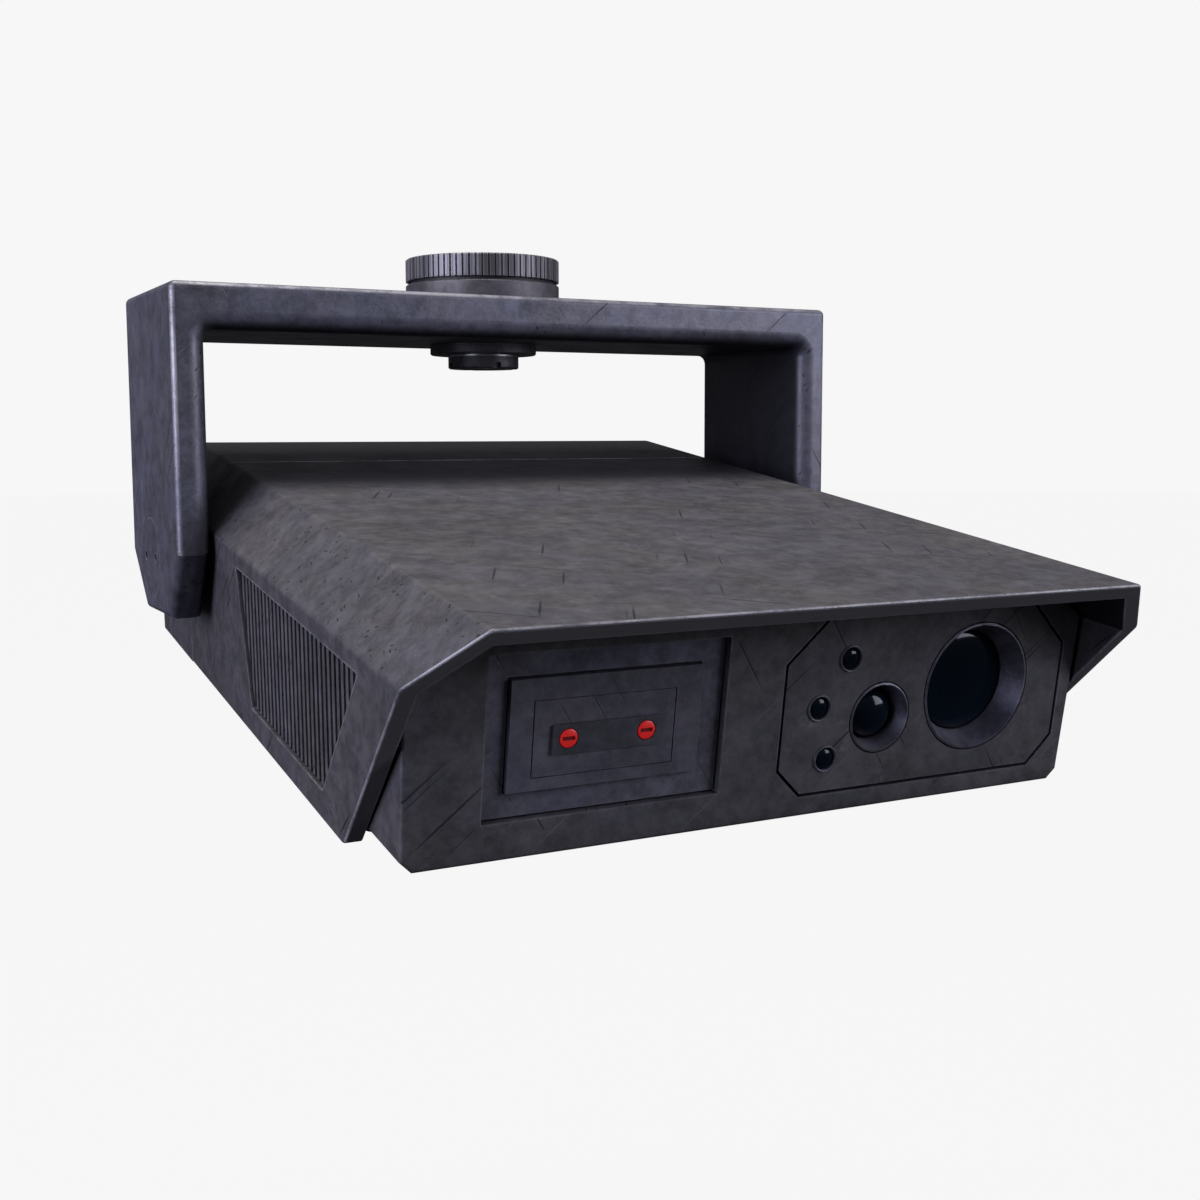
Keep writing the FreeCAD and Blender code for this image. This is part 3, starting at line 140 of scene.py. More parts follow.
# ---------------------------------------------------------------- shader maths

# Sockets of a Mix node that mixes colours
MIX_FACTOR, MIX_FIRST, MIX_SECOND, MIX_RESULT = 0, 6, 7, 2
SHADER_SAMPLES = 4


class Wire:
    """A node's output that can be used in an expression."""

    def __init__(self, web, socket):
        self.web = web
        self.socket = socket

    def sibling(self, name):
        """Another output of the same node."""
        return Wire(self.web, self.socket.node.outputs[name])

    def _maths(self, operation, *values):
        return self.web.node("ShaderNodeMath", {"operation": operation}, dict(enumerate(values)))

    def __add__(self, other):
        return self._maths("ADD", self, other)

    def __radd__(self, other):
        return self._maths("ADD", other, self)

    def __sub__(self, other):
        return self._maths("SUBTRACT", self, other)

    def __rsub__(self, other):
        return self._maths("SUBTRACT", other, self)

    def __mul__(self, other):
        return self._maths("MULTIPLY", self, other)

    def __truediv__(self, other):
        return self._maths("DIVIDE", self, other)

    def __abs__(self):
        return self._maths("ABSOLUTE", self)

    def floor(self):
        return self._maths("FLOOR", self)

    def at_least(self, other):
        return self._maths("MAXIMUM", self, other)

    def rise(self, low, high, start=0.0, end=1.0):
        """Smooth step from start to end as the value goes from low to high."""
        return self.web.node("ShaderNodeMapRange", {"interpolation_type": "SMOOTHSTEP"}, {
            "Value": self, "From Min": low, "From Max": high, "To Min": start, "To Max": end})

    def fall(self, low, high):
        return self.rise(low, high, 1.0, 0.0)


class Web:
    """One material's node tree."""

    def __init__(self, name):
        self.material = bpy.data.materials.new(name)
        self.material.use_nodes = True
        self.tree = self.material.node_tree
        self.tree.nodes.clear()

    def node(self, kind, settings=None, values=None, output=0):
        """Add a node: its settings first, then the values or wires of its inputs."""
        node = self.tree.nodes.new(kind)
        for name, value in (settings or {}).items():
            setattr(node, name, value)
        for name, value in (values or {}).items():
            socket = node.inputs[name]
            if isinstance(value, Wire):
                self.tree.links.new(value.socket, socket)
            else:
                socket.default_value = value
        return Wire(self, node.outputs[output])

    def place(self):
        return self.node("ShaderNodeTexCoord", output="Object")

    def facing(self):
        return self.node("ShaderNodeTexCoord", output="Normal")

    def moved(self, place, turn=(0, 0, 0), scale=(1, 1, 1), shift=(0, 0, 0)):
        return self.node("ShaderNodeMapping", {}, {
            "Vector": place, "Location": shift, "Rotation": turn, "Scale": scale})

    def head_place(self):
        """The place in the head's own level frame."""
        return self.node("ShaderNodeMapping", {"vector_type": "TEXTURE"}, {
            "Vector": self.place(), "Location": TILT_CENTRE, "Rotation": (PITCH, 0, 0)})

    def axis(self, place, name):
        return self.node("ShaderNodeSeparateXYZ", {}, {0: place}, output=name)

    def noise(self, place, scale, detail=3.0, roughness=0.55):
        return self.node("ShaderNodeTexNoise", {}, {
            "Vector": place, "Scale": scale, "Detail": detail, "Roughness": roughness})

    def cells(self, place, scale):
        """Distance to the nearest of many scattered points; its Color names the point."""
        return self.node("ShaderNodeTexVoronoi", {}, {"Vector": place, "Scale": scale})

    def blend(self, factor, first, second):
        """Mix two colours, each a wire or a plain colour."""
        first, second = ((*side, 1.0) if isinstance(side, tuple) else side
                         for side in (first, second))
        return self.node("ShaderNodeMix", {"data_type": "RGBA", "clamp_factor": True}, {
            MIX_FACTOR: factor, MIX_FIRST: first, MIX_SECOND: second}, MIX_RESULT)

    def brighten(self, colour, amount):
        """Multiply a colour by an amount that may vary."""
        grey = self.node("ShaderNodeCombineXYZ", {}, {0: amount, 1: amount, 2: amount})
        return self.node("ShaderNodeVectorMath", {"operation": "MULTIPLY"}, {0: colour, 1: grey})

    def corner(self, radius):
        """1 on an edge or corner within a radius, 0 on a flat."""
        rounded = self.node("ShaderNodeBevel", {"samples": SHADER_SAMPLES}, {"Radius": radius})
        flat = self.node("ShaderNodeNewGeometry", output="True Normal")
        match = self.node("ShaderNodeVectorMath", {"operation": "DOT_PRODUCT"},
                          {0: rounded, 1: flat}, output="Value")
        return (1.0 - match).rise(0.05, 0.18)

    def crevice_shade(self, reach):
        """1 down in a crevice, 0 in the open, from ambient occlusion: the mask of painted shade in
        crevices.
        """
        sky = self.node("ShaderNodeAmbientOcclusion", {"samples": SHADER_SAMPLES},
                        {"Distance": reach}, "AO")
        return (1.0 - sky).rise(0.30, 0.95)

    def dashes(self, place, turn, scale, thin, seed, share):
        """Thin marks that lie one way, on the share of the scattered points that carry one."""
        drawn = self.moved(self.moved(place, turn), scale=(scale, scale * thin, scale * thin),
                           shift=(seed, seed * 2, seed))
        spots = self.cells(drawn, 1.0)
        chosen = self.axis(spots.sibling("Color"), "X")
        return spots.fall(0.14, 0.30) * chosen.fall(share - 0.01, share)

    def hairlines(self, place, turn, scale, thin, width, seed):
        """Long faint lines that lie one way and break off."""
        drawn = self.moved(self.moved(place, turn), scale=(scale, scale * thin, scale * thin),
                           shift=(seed, seed, seed * 3))
        line = abs(self.noise(drawn, 1.0, 2.0) - 0.5).fall(0.0, width)
        gaps = self.noise(self.moved(place, shift=(seed, 0, seed)), scale * 2.5, 1.0).rise(0.5, 0.62)
        return line * gaps

    def bump(self, height, strength, distance):
        return self.node("ShaderNodeBump", {}, {
            "Height": height, "Strength": strength, "Distance": distance})

    def finish(self, values):
        """Close the tree with a principled shader and return the material."""
        shader = self.node("ShaderNodeBsdfPrincipled", {}, values)
        end = self.tree.nodes.new("ShaderNodeOutputMaterial")
        self.tree.links.new(shader.socket, end.inputs["Surface"])
        return self.material


def paint(nodes, material):
    """Give CAD nodes a material in every slot."""
    for name in nodes:
        for index in range(len(NODES[name].material_slots)):
            NODES[name].material_slots[index].material = material


# ---------------------------------------------------------------- finishes

DIAGONAL = (0.5, 0.3, 0.9)
ACROSS_TOP = (0, 0, 0.6)
ALONG_TOP = (0, 0, -1.1)
ACROSS_FRONT = (0, 0.7, 0)
DOWN_FRONT = (0, -1.0, 0)
ALONG_SIDE = (0.8, 0, math.pi / 2)
# A set of marks: the axis that its faces look along, how it is turned, how close together and how
# thin its marks are, where its pattern starts, and the share of its places that carry a mark
DARK_MARKS = (("Z", ACROSS_TOP, 13.0, 36.0, 3.1, 0.10), ("Z", ALONG_TOP, 21.0, 26.0, 7.7, 0.09),
              ("Y", ACROSS_FRONT, 12.0, 40.0, 5.3, 0.10), ("Y", DOWN_FRONT, 20.0, 30.0, 1.9, 0.08),
              ("X", ALONG_SIDE, 14.0, 34.0, 4.4, 0.12))
PALE_MARKS = (("Z", ACROSS_TOP, 24.0, 50.0, 6.3, 0.06), ("Y", ACROSS_FRONT, 22.0, 60.0, 8.1, 0.06),
              ("X", ALONG_SIDE, 26.0, 50.0, 2.6, 0.06))
COOL = (0.97, 0.985, 1.04)
WARM = (1.03, 1.005, 0.965)
CREVICE_SHADE_REACH = 7.0 * MM

MOULDED = {    # tint and roughness
    "seam_rubber": ((0.02, 0.02, 0.022), 0.6),
    "seal_rubber": ((0.015, 0.015, 0.016), 0.6),
    "brake_lining": ((0.012, 0.012, 0.014), 0.5),
    "bearing_plastic": ((0.42, 0.37, 0.26), 0.45),
    "black_plastic": ((0.022, 0.022, 0.025), 0.42),
}
TURNED_METAL = {    # tint, roughness, and how close its turning lines lie
    "turned_steel": ((0.40, 0.40, 0.42), 0.28, 14.0),
    "screw_steel": ((0.34, 0.34, 0.36), 0.32, 6.0),
    "machined_alloy": ((0.55, 0.56, 0.58), 0.34, 1.0),
}
SCUFF_GREY = (0.3, 0.3, 0.3)
RIB_METAL = (0.24, 0.24, 0.26)
POLISHED_STEEL = (0.7, 0.7, 0.72)
SOLDER_MASK = (0.012, 0.075, 0.036)
COPPER_UNDER_MASK = (0.03, 0.16, 0.07)
SOLDERED_PAD = (0.5, 0.48, 0.4)
GAUZE_HOLE = (0.002, 0.002, 0.003)
GAUZE_WIRE = (0.03, 0.03, 0.034)
GAUZE_PITCH = 1.1 * MM
DUST = (0.2, 0.2, 0.22)
CHIPPED_ENAMEL = (0.05, 0.005, 0.005)
SHADED_ENAMEL = (0.04, 0.004, 0.004)
KNURL_RIBS = 76


def tinted(colour, tint):
    """A colour pushed towards a cooler or warmer hue."""
    return tuple(part * share for part, share in zip(colour, tint))


def scratches(web, place, marks):
    """All the sets of marks together, each only on the faces that look along its axis."""
    facing = web.facing()
    drawn = [web.dashes(place, *mark) * abs(web.axis(facing, axis)).rise(0.55, 0.7)
             for axis, *mark in marks]
    together = drawn[0]
    for more in drawn[1:]:
        together = together.at_least(more)
    return together


def clouded(web, place, coat, light):
    """The coat's own colour: cooler and warmer in patches, and lit by a varying amount."""
    hue = web.noise(place, 26.0, 5.0, 0.65).rise(0.36, 0.64)
    return web.brighten(web.blend(hue, tinted(coat, COOL), tinted(coat, WARM)), light)


def soiled(web, place, colour, clouds, grime_and_shade, bare_and_highlight):
    """The colour with stains, scuffs, specks and scratches on it; also the stains, and how deep
    the marks go."""
    stains = web.noise(web.moved(place, scale=(1.0, 1.5, 1.2)), 17.0, 9.0, 0.80).rise(0.54, 0.68)
    scuffs = web.noise(place, 80.0, 8.0, 0.82).rise(0.55, 0.66) * clouds.rise(0.6, 0.95)
    specks = web.noise(place, 240.0, 2.0, 0.5).rise(0.70, 0.76)
    marks = scratches(web, place, DARK_MARKS)
    for amount, over in ((stains * 0.46, grime_and_shade), (scuffs * 0.16, bare_and_highlight), (specks * 0.14, grime_and_shade),
                         (scratches(web, place, PALE_MARKS) * 0.16, bare_and_highlight), (marks * 0.82, grime_and_shade)):
        colour = web.blend(amount, colour, over)
    return colour, stains, marks * 1.4 + specks * 0.6


def rubbed(web, place, edge_radius):
    """Where edges have been rubbed, in patches."""
    patchy = web.noise(place, 55.0, 6.0, 0.75).rise(0.38, 0.60)
    return web.corner(edge_radius) * (0.2 + patchy * 0.8)


def worn_coat(name, coat, seed, shade=None, lift=None, bright=1.0, edge_radius=1.4 * MM,
              metallic=0.3, wear=0.75, in_head=True, satin=0.46):
    """Satin coat over cast metal: clouded, smudged, scratched, and rubbed through to the metal along
    its edges; darkened where a shade mask says, lightened where a lift mask says, and with painted
    shade in its crevices.
    """
    colours = bpy.context.scene.radar_colours
    grime_and_shade = tuple(colours.grime_and_shade)
    bare_and_highlight = tuple(colours.bare_and_highlight)
    web = Web(name)
    place = web.moved(web.head_place() if in_head else web.place(),
                      shift=(seed * 0.10, seed * 0.07, seed * 0.13))
    clouds = web.noise(place, 9.0, 6.0, 0.62).rise(0.34, 0.66)
    smudges = web.noise(web.moved(place, scale=(1.0, 1.4, 1.3)), 46.0, 8.0, 0.78).rise(0.34, 0.66)
    mottle = web.noise(place, 140.0, 6.0, 0.75).rise(0.34, 0.66)
    grain = web.noise(place, 700.0, 2.0, 0.6)
    light = (0.54 + clouds * 0.22 + smudges * 0.30 + mottle * 0.46) * bright
    colour = clouded(web, place, coat, light)
    colour, stains, dents = soiled(web, place, colour, clouds, grime_and_shade, bare_and_highlight)
    # The shade mask darkens: painted shade inside the yoke's window and on the hood, darker bands on
    # the pan's front wall.
    if shade:
        colour = web.blend(shade(web), colour, grime_and_shade)
    # The lift mask lightens towards worn metal: wear, and also a painted highlight on the hood's rim
    # and the yoke's edges.
    if lift:
        colour = web.blend(lift(web), colour, bare_and_highlight)
    # Painted shade in crevices, from ambient occlusion.
    colour = web.blend(web.crevice_shade(CREVICE_SHADE_REACH) * 0.8, colour, grime_and_shade)
    worn = rubbed(web, place, edge_radius) * wear
    height = grain * 0.30 + mottle * 0.6 + smudges * 0.4 - dents
    return web.finish({
        "Base Color": web.blend(worn, colour, bare_and_highlight), "Metallic": metallic,
        "Roughness": satin + smudges * 0.12 + stains * 0.10 - worn * 0.14,
        "Normal": web.bump(height, 0.4, 0.16 * MM)})


# Heights in the CAD frame
RING_FOOT_DARKENING = (-11.6 * MM, -10.4 * MM)
LEG_WEAR_AND_HIGHLIGHT_GROWS = (-130.0 * MM, -40.0 * MM)
# Depths and heights in the head's level frame
# Painted shadow under the yoke's bar: it grows from the first depth to the second, towards the rear.
SHADE_UNDER_BAR = (-82.0 * MM, -40.0 * MM)
WALL_TOP_DARKENING = (8.0 * MM, 34.0 * MM)
WALL_FOOT_DARKENING = (-54.0 * MM, -44.0 * MM)
# How far behind the plane of the hood's slanting front: its lighter band, and where the worn, bright
# edge is; both are wear and also a painted highlight
RIM_BAND = (0.1 * MM, 0.3 * MM)
RIM_EDGE_STARTS = (0.05 * MM, 0.25 * MM)
RIM_EDGE_ENDS = (0.9 * MM, 1.7 * MM)
# Depths below two outer faces of the yoke, added, at the middle of the rounded edge between them
YOKE_EDGE_MIDDLE = (-2.7 * MM, -2.1 * MM)


def yoke_window_shade(web):
    """Painted shade inside the yoke's window: dark on the inner faces of its legs and the underside
    of its bar.
    """
    place = web.place()
    legs = abs(web.axis(place, "X")).fall(YOKE_INNER + 0.2 * MM, YOKE_INNER + 3.2 * MM)
    bar = web.axis(place, "Z").fall(BAR_LOW + 1.2 * MM, BAR_LOW + 5.0 * MM)
    return legs * bar * 0.88


def yoke_edge_wear_and_highlight(web):
    """Rubbed through along the middle of the yoke's outer rounded edges, less towards the feet; the
    light line is also a painted highlight.
    """
    place = web.place()
    across = abs(web.axis(place, "X")) - YOKE_HIGH.x
    forward = YOKE_LOW.y - web.axis(place, "Y")
    rearward = web.axis(place, "Y") - YOKE_HIGH.y
    height = web.axis(place, "Z")
    outer = across.at_least(height - YOKE_HIGH.z - 0.25 * MM)
    middle = (outer + forward.at_least(rearward)).rise(*YOKE_EDGE_MIDDLE)
    patchy = web.noise(place, 70.0, 6.0, 0.75).rise(0.34, 0.58)
    fading = height.rise(*LEG_WEAR_AND_HIGHLIGHT_GROWS, 0.25, 1.0)
    return middle * (0.15 + patchy * 0.85) * fading * 0.6


def hood_painted_shade(web):
    """Painted shade on the hood's inner and downward faces, and a painted shadow on its upper faces
    under the yoke's bar.
    """
    facing = web.facing()
    place = web.head_place()
    upness = web.axis(facing, "Z")
    under = upness.fall(-0.55, -0.25)
    inward = (web.axis(facing, "X") * web.axis(place, "X")).fall(-0.06, -0.02) * 0.55
    back = web.axis(place, "Y").rise(*SHADE_UNDER_BAR) * upness.rise(0.15, 0.5)
    return under.at_least(inward).at_least(back) * 0.97


def hood_rim_wear_and_highlight(web):
    """Rubbed on the slanting band round the hood's open front, and worn through along its outer
    edge; the lighter band and edge are also a painted highlight.
    """
    place = web.head_place()
    facing = web.facing()
    behind = web.axis(place, "Y") + web.axis(place, "Z") * RAKE - RIM_PLACE
    band = behind.fall(*RIM_BAND) * 0.3
    outward = web.axis(facing, "Z").rise(-0.2, 0.2).at_least(
        (web.axis(facing, "X") * web.axis(place, "X")).rise(0.0, 0.03))
    edge = behind.rise(*RIM_EDGE_STARTS) * behind.fall(*RIM_EDGE_ENDS) * outward
    patchy = web.noise(place, 60.0, 6.0, 0.75).rise(0.34, 0.58)
    return band.at_least(edge * (0.2 + patchy * 0.8) * 0.6)


def front_wall_dark_bands(web):
    """Darker along the foot of the front wall and towards its top."""
    height = web.axis(web.head_place(), "Z")
    return height.rise(*WALL_TOP_DARKENING).at_least(height.fall(*WALL_FOOT_DARKENING)) * 0.3


def rib_wear(web, place):
    """A different amount of wear for each rib round the pan axis."""
    angle = web.node("ShaderNodeMath", {"operation": "ARCTAN2"},
                     {0: web.axis(place, "Y"), 1: web.axis(place, "X")})
    rib = (angle * (KNURL_RIBS / (2 * math.pi)) + 0.5).floor()
    return web.node("ShaderNodeTexWhiteNoise", {"noise_dimensions": "1D"}, {"W": rib})


def knurled_metal():
    """Turned ring whose ribs have worn unevenly."""
    colours = bpy.context.scene.radar_colours
    web = Web("knurled_metal")
    place = web.place()
    rub = rib_wear(web, place) * 0.7 + web.noise(place, 60.0, 3.0) * 0.5
    foot = web.axis(place, "Z").fall(*RING_FOOT_DARKENING)
    colour = web.blend(rub.rise(0.25, 1.0), tuple(colours.coat), RIB_METAL)
    # Darker towards the ring's foot.
    colour = web.blend(foot * 0.7, colour, tuple(colours.grime_and_shade))
    colour = web.blend(web.corner(0.9 * MM) * 0.5, colour, tuple(colours.bare_and_highlight))
    grain = web.noise(place, 900.0, 2.0)
    return web.finish({
        "Base Color": colour, "Metallic": 0.55, "Roughness": 0.42 + rub * 0.14,
        "Normal": web.bump(grain, 0.3, 0.08 * MM)})


def turned_metal(name):
    """Machined metal with fine turning lines and a little tarnish."""
    tint, roughness, closeness = TURNED_METAL[name]
    web = Web(name)
    place = web.place()
    lines = web.noise(web.moved(place, scale=(1.0, 1.0, closeness)), 300.0, 2.0)
    tarnish = web.noise(place, 40.0, 5.0, 0.65)
    colour = web.brighten(tint, 0.7 + tarnish * 0.5 + lines * 0.12)
    colour = web.blend(web.corner(0.5 * MM) * 0.4, colour, POLISHED_STEEL)
    return web.finish({
        "Base Color": colour, "Metallic": 0.9, "Roughness": roughness + tarnish * 0.18,
        "Normal": web.bump(lines, 0.25, 0.05 * MM)})


def moulded(name):
    """Plastic or rubber with a fine moulded grain and handling smudges."""
    tint, roughness = MOULDED[name]
    web = Web(name)
    place = web.place()
    grain = web.noise(place, 700.0, 2.0)
    smudge = web.noise(place, 30.0, 5.0, 0.65)
    scuffs = web.hairlines(place, DIAGONAL, 20.0, 14.0, 0.012, 4.0)
    colour = web.brighten(tint, 0.8 + smudge * 0.4 + grain * 0.12)
    colour = web.blend(scuffs * 0.18, colour, SCUFF_GREY)
    return web.finish({
        "Base Color": colour, "Roughness": roughness + smudge * 0.18,
        "Normal": web.bump(grain - scuffs * 0.5, 0.3, 0.08 * MM)})


def board_green():
    """Circuit board with faint copper tracks and pads under its mask."""
    web = Web("board_green")
    place = web.head_place()
    slanted = web.moved(place, (0, 0, 0.785))
    tracks = abs(web.noise(slanted, 160.0, 0.0) - 0.5).fall(0.0, 0.05)
    pads = web.cells(place, 260.0).fall(0.16, 0.2)
    colour = web.blend(tracks * 0.6, SOLDER_MASK, COPPER_UNDER_MASK)
    colour = web.blend(pads * 0.8, colour, SOLDERED_PAD)
    return web.finish({
        "Base Color": colour, "Roughness": 0.4 + tracks * 0.1, "Metallic": pads * 0.6,
        "Normal": web.bump(tracks + pads, 0.3, 0.08 * MM)})


def gauze():
    """Blackened wire cloth."""
    web = Web("gauze")
    place = web.head_place()
    wires = []
    for name in ("Y", "Z"):
        wave = web.node("ShaderNodeMath", {"operation": "SINE"},
                        {0: web.axis(place, name) * (2 * math.pi / GAUZE_PITCH)})
        wires.append(wave.rise(0.2, 0.9))
    cloth = wires[0].at_least(wires[1])
    dust = web.noise(place, 50.0, 4.0)
    colour = web.blend(cloth * 0.7, GAUZE_HOLE, GAUZE_WIRE)
    colour = web.brighten(colour, 0.6 + dust * 0.8)
    return web.finish({
        "Base Color": colour, "Roughness": 0.55 + dust * 0.2,
        "Normal": web.bump(cloth, 0.6, 0.2 * MM)})


def dark_glass(name, centre, reach, tint):
    """Coated glass: near black, with a painted cool sheen towards its rim and faint dust."""
    web = Web(name)
    place = web.head_place()
    away = web.node("ShaderNodeVectorMath", {"operation": "DISTANCE"},
                    {0: place, 1: centre}, output="Value")
    # Painted sheen: cooler and lighter towards the rim.
    rim_sheen = (away / reach).rise(0.35, 1.0)
    dust = web.noise(place, 260.0, 5.0, 0.7).rise(0.6, 0.85)
    smear = web.noise(web.moved(place, (0, 0.5, 0), (1, 1, 3)), 60.0, 4.0, 0.6)
    colour = web.blend(rim_sheen * 0.4, tint, (tint[0] * 1.6, tint[1] * 2.2, tint[2] * 2.6))
    colour = web.blend(dust * 0.01, colour, DUST)
    return web.finish({
        "Base Color": colour, "Roughness": 0.06 + dust * 0.08 + smear * 0.08,
        "IOR": 1.5, "Specular IOR Level": 0.22})


def lock_enamel(front):
    """Glossy red enamel, chipped, with painted shade down in its slot behind the front, and a faint
    painted glow.
    """
    web = Web("lock_enamel")
    place = web.place()
    depth = web.noise(place, 500.0, 3.0)
    chips = web.noise(place, 900.0, 3.0, 0.7).rise(0.62, 0.7)
    colour = web.brighten(tuple(bpy.context.scene.radar_colours.lock), 0.82 + depth * 0.36)
    colour = web.blend(chips * 0.5, colour, CHIPPED_ENAMEL)
    # Painted shade down in the slot.
    slot_shade = web.axis(web.head_place(), "Y").rise(front + 0.1 * MM, front + 0.4 * MM)
    colour = web.blend(slot_shade * 0.9, colour, SHADED_ENAMEL)
    # The emission is a painted glow: the lock is no lamp.
    return web.finish({
        "Base Color": colour, "Roughness": 0.34 + depth * 0.15, "Coat Weight": 0.2,
        "Emission Color": colour, "Emission Strength": 0.22,
        "Normal": web.bump(depth, 0.2, 0.05 * MM)})


# ---------------------------------------------------------------- modelling by hand

SHARPEST_SMOOTHED = math.radians(35.0)
SAME_SPOT = 0.002 * MM


def select_only(piece):
    bpy.ops.object.select_all(action="DESELECT")
    piece.select_set(True)
    bpy.context.view_layer.objects.active = piece


def turned(name, outline, steps=72):
    """Turn an outline of (radius, height) points about Z into a closed skin."""
    bpy.ops.object.select_all(action="DESELECT")
    bpy.ops.mesh.primitive_plane_add(size=MM, location=(0, 0, 0))
    piece = bpy.context.object
    piece.name = name
    for part in (*piece.data.polygons, *piece.data.edges):
        part.select = False
    for vertex in piece.data.vertices:
        vertex.select = vertex.index > 0
    here = piece.data.vertices[0].co.copy()
    bpy.ops.object.mode_set(mode="EDIT")
    bpy.ops.mesh.select_mode(type="VERT")
    bpy.ops.mesh.delete(type="VERT")
    bpy.ops.mesh.select_all(action="SELECT")
    start = Vector((outline[0][0], 0, outline[0][1]))
    bpy.ops.transform.translate(value=start - here)
    for (near, low), (far, high) in zip(outline, outline[1:]):
        bpy.ops.mesh.extrude_region_move(
            TRANSFORM_OT_translate={"value": (far - near, 0, high - low)})
    bpy.ops.mesh.select_all(action="SELECT")
    bpy.ops.mesh.spin(steps=steps, angle=2 * math.pi, center=(0, 0, 0), axis=(0, 0, 1))
    bpy.ops.mesh.select_all(action="SELECT")
    bpy.ops.mesh.remove_doubles(threshold=SAME_SPOT)
    bpy.ops.mesh.normals_make_consistent(inside=False)
    bpy.ops.object.mode_set(mode="OBJECT")
    return piece


def settle(piece, place):
    """Smooth a piece, put it where it goes, and leave its object at the origin."""
    select_only(piece)
    bpy.ops.object.shade_smooth_by_angle(angle=SHARPEST_SMOOTHED)
    piece.matrix_world = place
    bpy.ops.object.transform_apply(location=True, rotation=True, scale=True)


def modify(piece, kind, **settings):
    """Add a modifier, set it and apply it."""
    select_only(piece)
    modifier = piece.modifiers.new(kind.lower(), kind)
    for name, value in settings.items():
        setattr(modifier, name, value)
    bpy.ops.object.modifier_apply(modifier=modifier.name)


def box_boolean(piece, operation, size, height=0.0):
    """Cut a box at some height out of a piece, or join one to it."""
    bpy.ops.mesh.primitive_cube_add(size=1.0, location=(0, 0, height), scale=size)
    box = bpy.context.object
    modify(piece, "BOOLEAN", operation=operation, object=box, solver="EXACT")
    bpy.data.objects.remove(box)


def dress(piece, body, material, slot, *stands_for):
    """Give a piece its material and body, and hide the CAD nodes that it stands for; its slot is not
    used.
    """
    piece.data.materials.clear()
    piece.data.materials.append(material)
    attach(piece, body)
    if stands_for:
        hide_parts(*stands_for)


def head_groups(node, reach):
    """Low and high corner, in the head's level frame, of each solid of a node: a solid's points
    all lie within reach of its first one."""
    to_head = HEAD.inverted()
    groups = []
    for vertex in NODES[node].data.vertices:
        spot = to_head @ vertex.co
        home = next((group for group in groups if (group[0] - spot).length < reach), None)
        if home is None:
            groups.append([spot])
        else:
            home.append(spot)
    return [(Vector(map(min, *group)), Vector(map(max, *group))) for group in groups]


def facing_out(low, high, front):
    """Place for a turned piece whose Z points out of the lens panel, and its CAD radius."""
    middle = (low + high) / 2
    return HEAD @ Matrix.Translation((middle.x, front, middle.z)) @ FORWARD, (high.x - low.x) / 2


def arc(radius, rise, base, count=9):
    """Outline of a dome from its rim up to its crown."""
    steps = [math.pi / 2 * index / count for index in range(count + 1)]
    return [(radius * math.cos(step), base + rise * math.sin(step)) for step in steps]


# ---------------------------------------------------------------- pieces

SENSOR_REACH = 14 * MM
WHOLE_NODE = 80 * MM        # reach that takes in all of a lens or lock
RING_WALL = 0.9 * MM
DOME_PLAY = 0.05 * MM       # between a sensor's dome and its ring
DOME_DROP = 1.7 * MM        # how far a sensor dome's rim lies behind the ring's face
LOCK_HEAD = 1.2 * MM
LOCK_SLOT = (5.0 * MM, 1.5 * MM)
SHANK_RADIUS = 2.0 * MM
CROSS_BAR = (7.6 * MM, 2.2 * MM, 1.6 * MM)
WINDOW_LAP = 0.4 * MM       # how far the camera window reaches past the CAD glass


def sensor_ring(name, radius, foot, lip):
    """A ring with a rounded lip, from its foot up to the face of the panel and a little beyond."""
    inner = radius - RING_WALL
    return turned(name, [
        (inner, foot), (radius, foot), (radius, 0.0), (radius - 0.15 * MM, lip * 0.8),
        (radius - 0.45 * MM, lip), (inner + 0.15 * MM, lip * 0.7), (inner, 0.0), (inner, foot)])


def sensor_dome(name, radius, foot, rise):
    """A short rod of glass with a domed end."""
    return turned(name, [(0.0, foot * 0.7), (radius, foot * 0.7)] + arc(radius, rise, -DOME_DROP))


class MakeSensors(bpy.types.Operator):
    """Small domed sensors, each in its rounded ring"""
    bl_idname = "radar_head.sensors"
    bl_label = "Sensor domes and rings"

    def execute(self, context):
        sizes = context.scene.radar_sizes
        colours = context.scene.radar_colours
        ring_coat = worn_coat("ring_coat", tuple(colours.bezel), 41.0, bright=0.9,
                              edge_radius=0.5 * MM, wear=0.25)
        for index, (low, high) in enumerate(head_groups("sensor_bezels", SENSOR_REACH), start=1):
            place, radius = facing_out(low, high, low.y)
            foot = low.y - high.y
            ring = sensor_ring("sensor_ring_%d" % index, radius, foot, sizes.rim_lip)
            settle(ring, place)
            dress(ring, "head", ring_coat, "bezel_paint", "sensor_bezels")
            dome = sensor_dome("sensor_dome_%d" % index, radius - RING_WALL - DOME_PLAY, foot,
                               sizes.dome_rise)
            settle(dome, place)
            middle = HEAD.inverted() @ place.translation
            glass = dark_glass("sensor_glass_%d" % index, middle, radius, tuple(colours.glass))
            dress(dome, "head", glass, "lens_glass", "sensor_lenses")
        return {"FINISHED"}


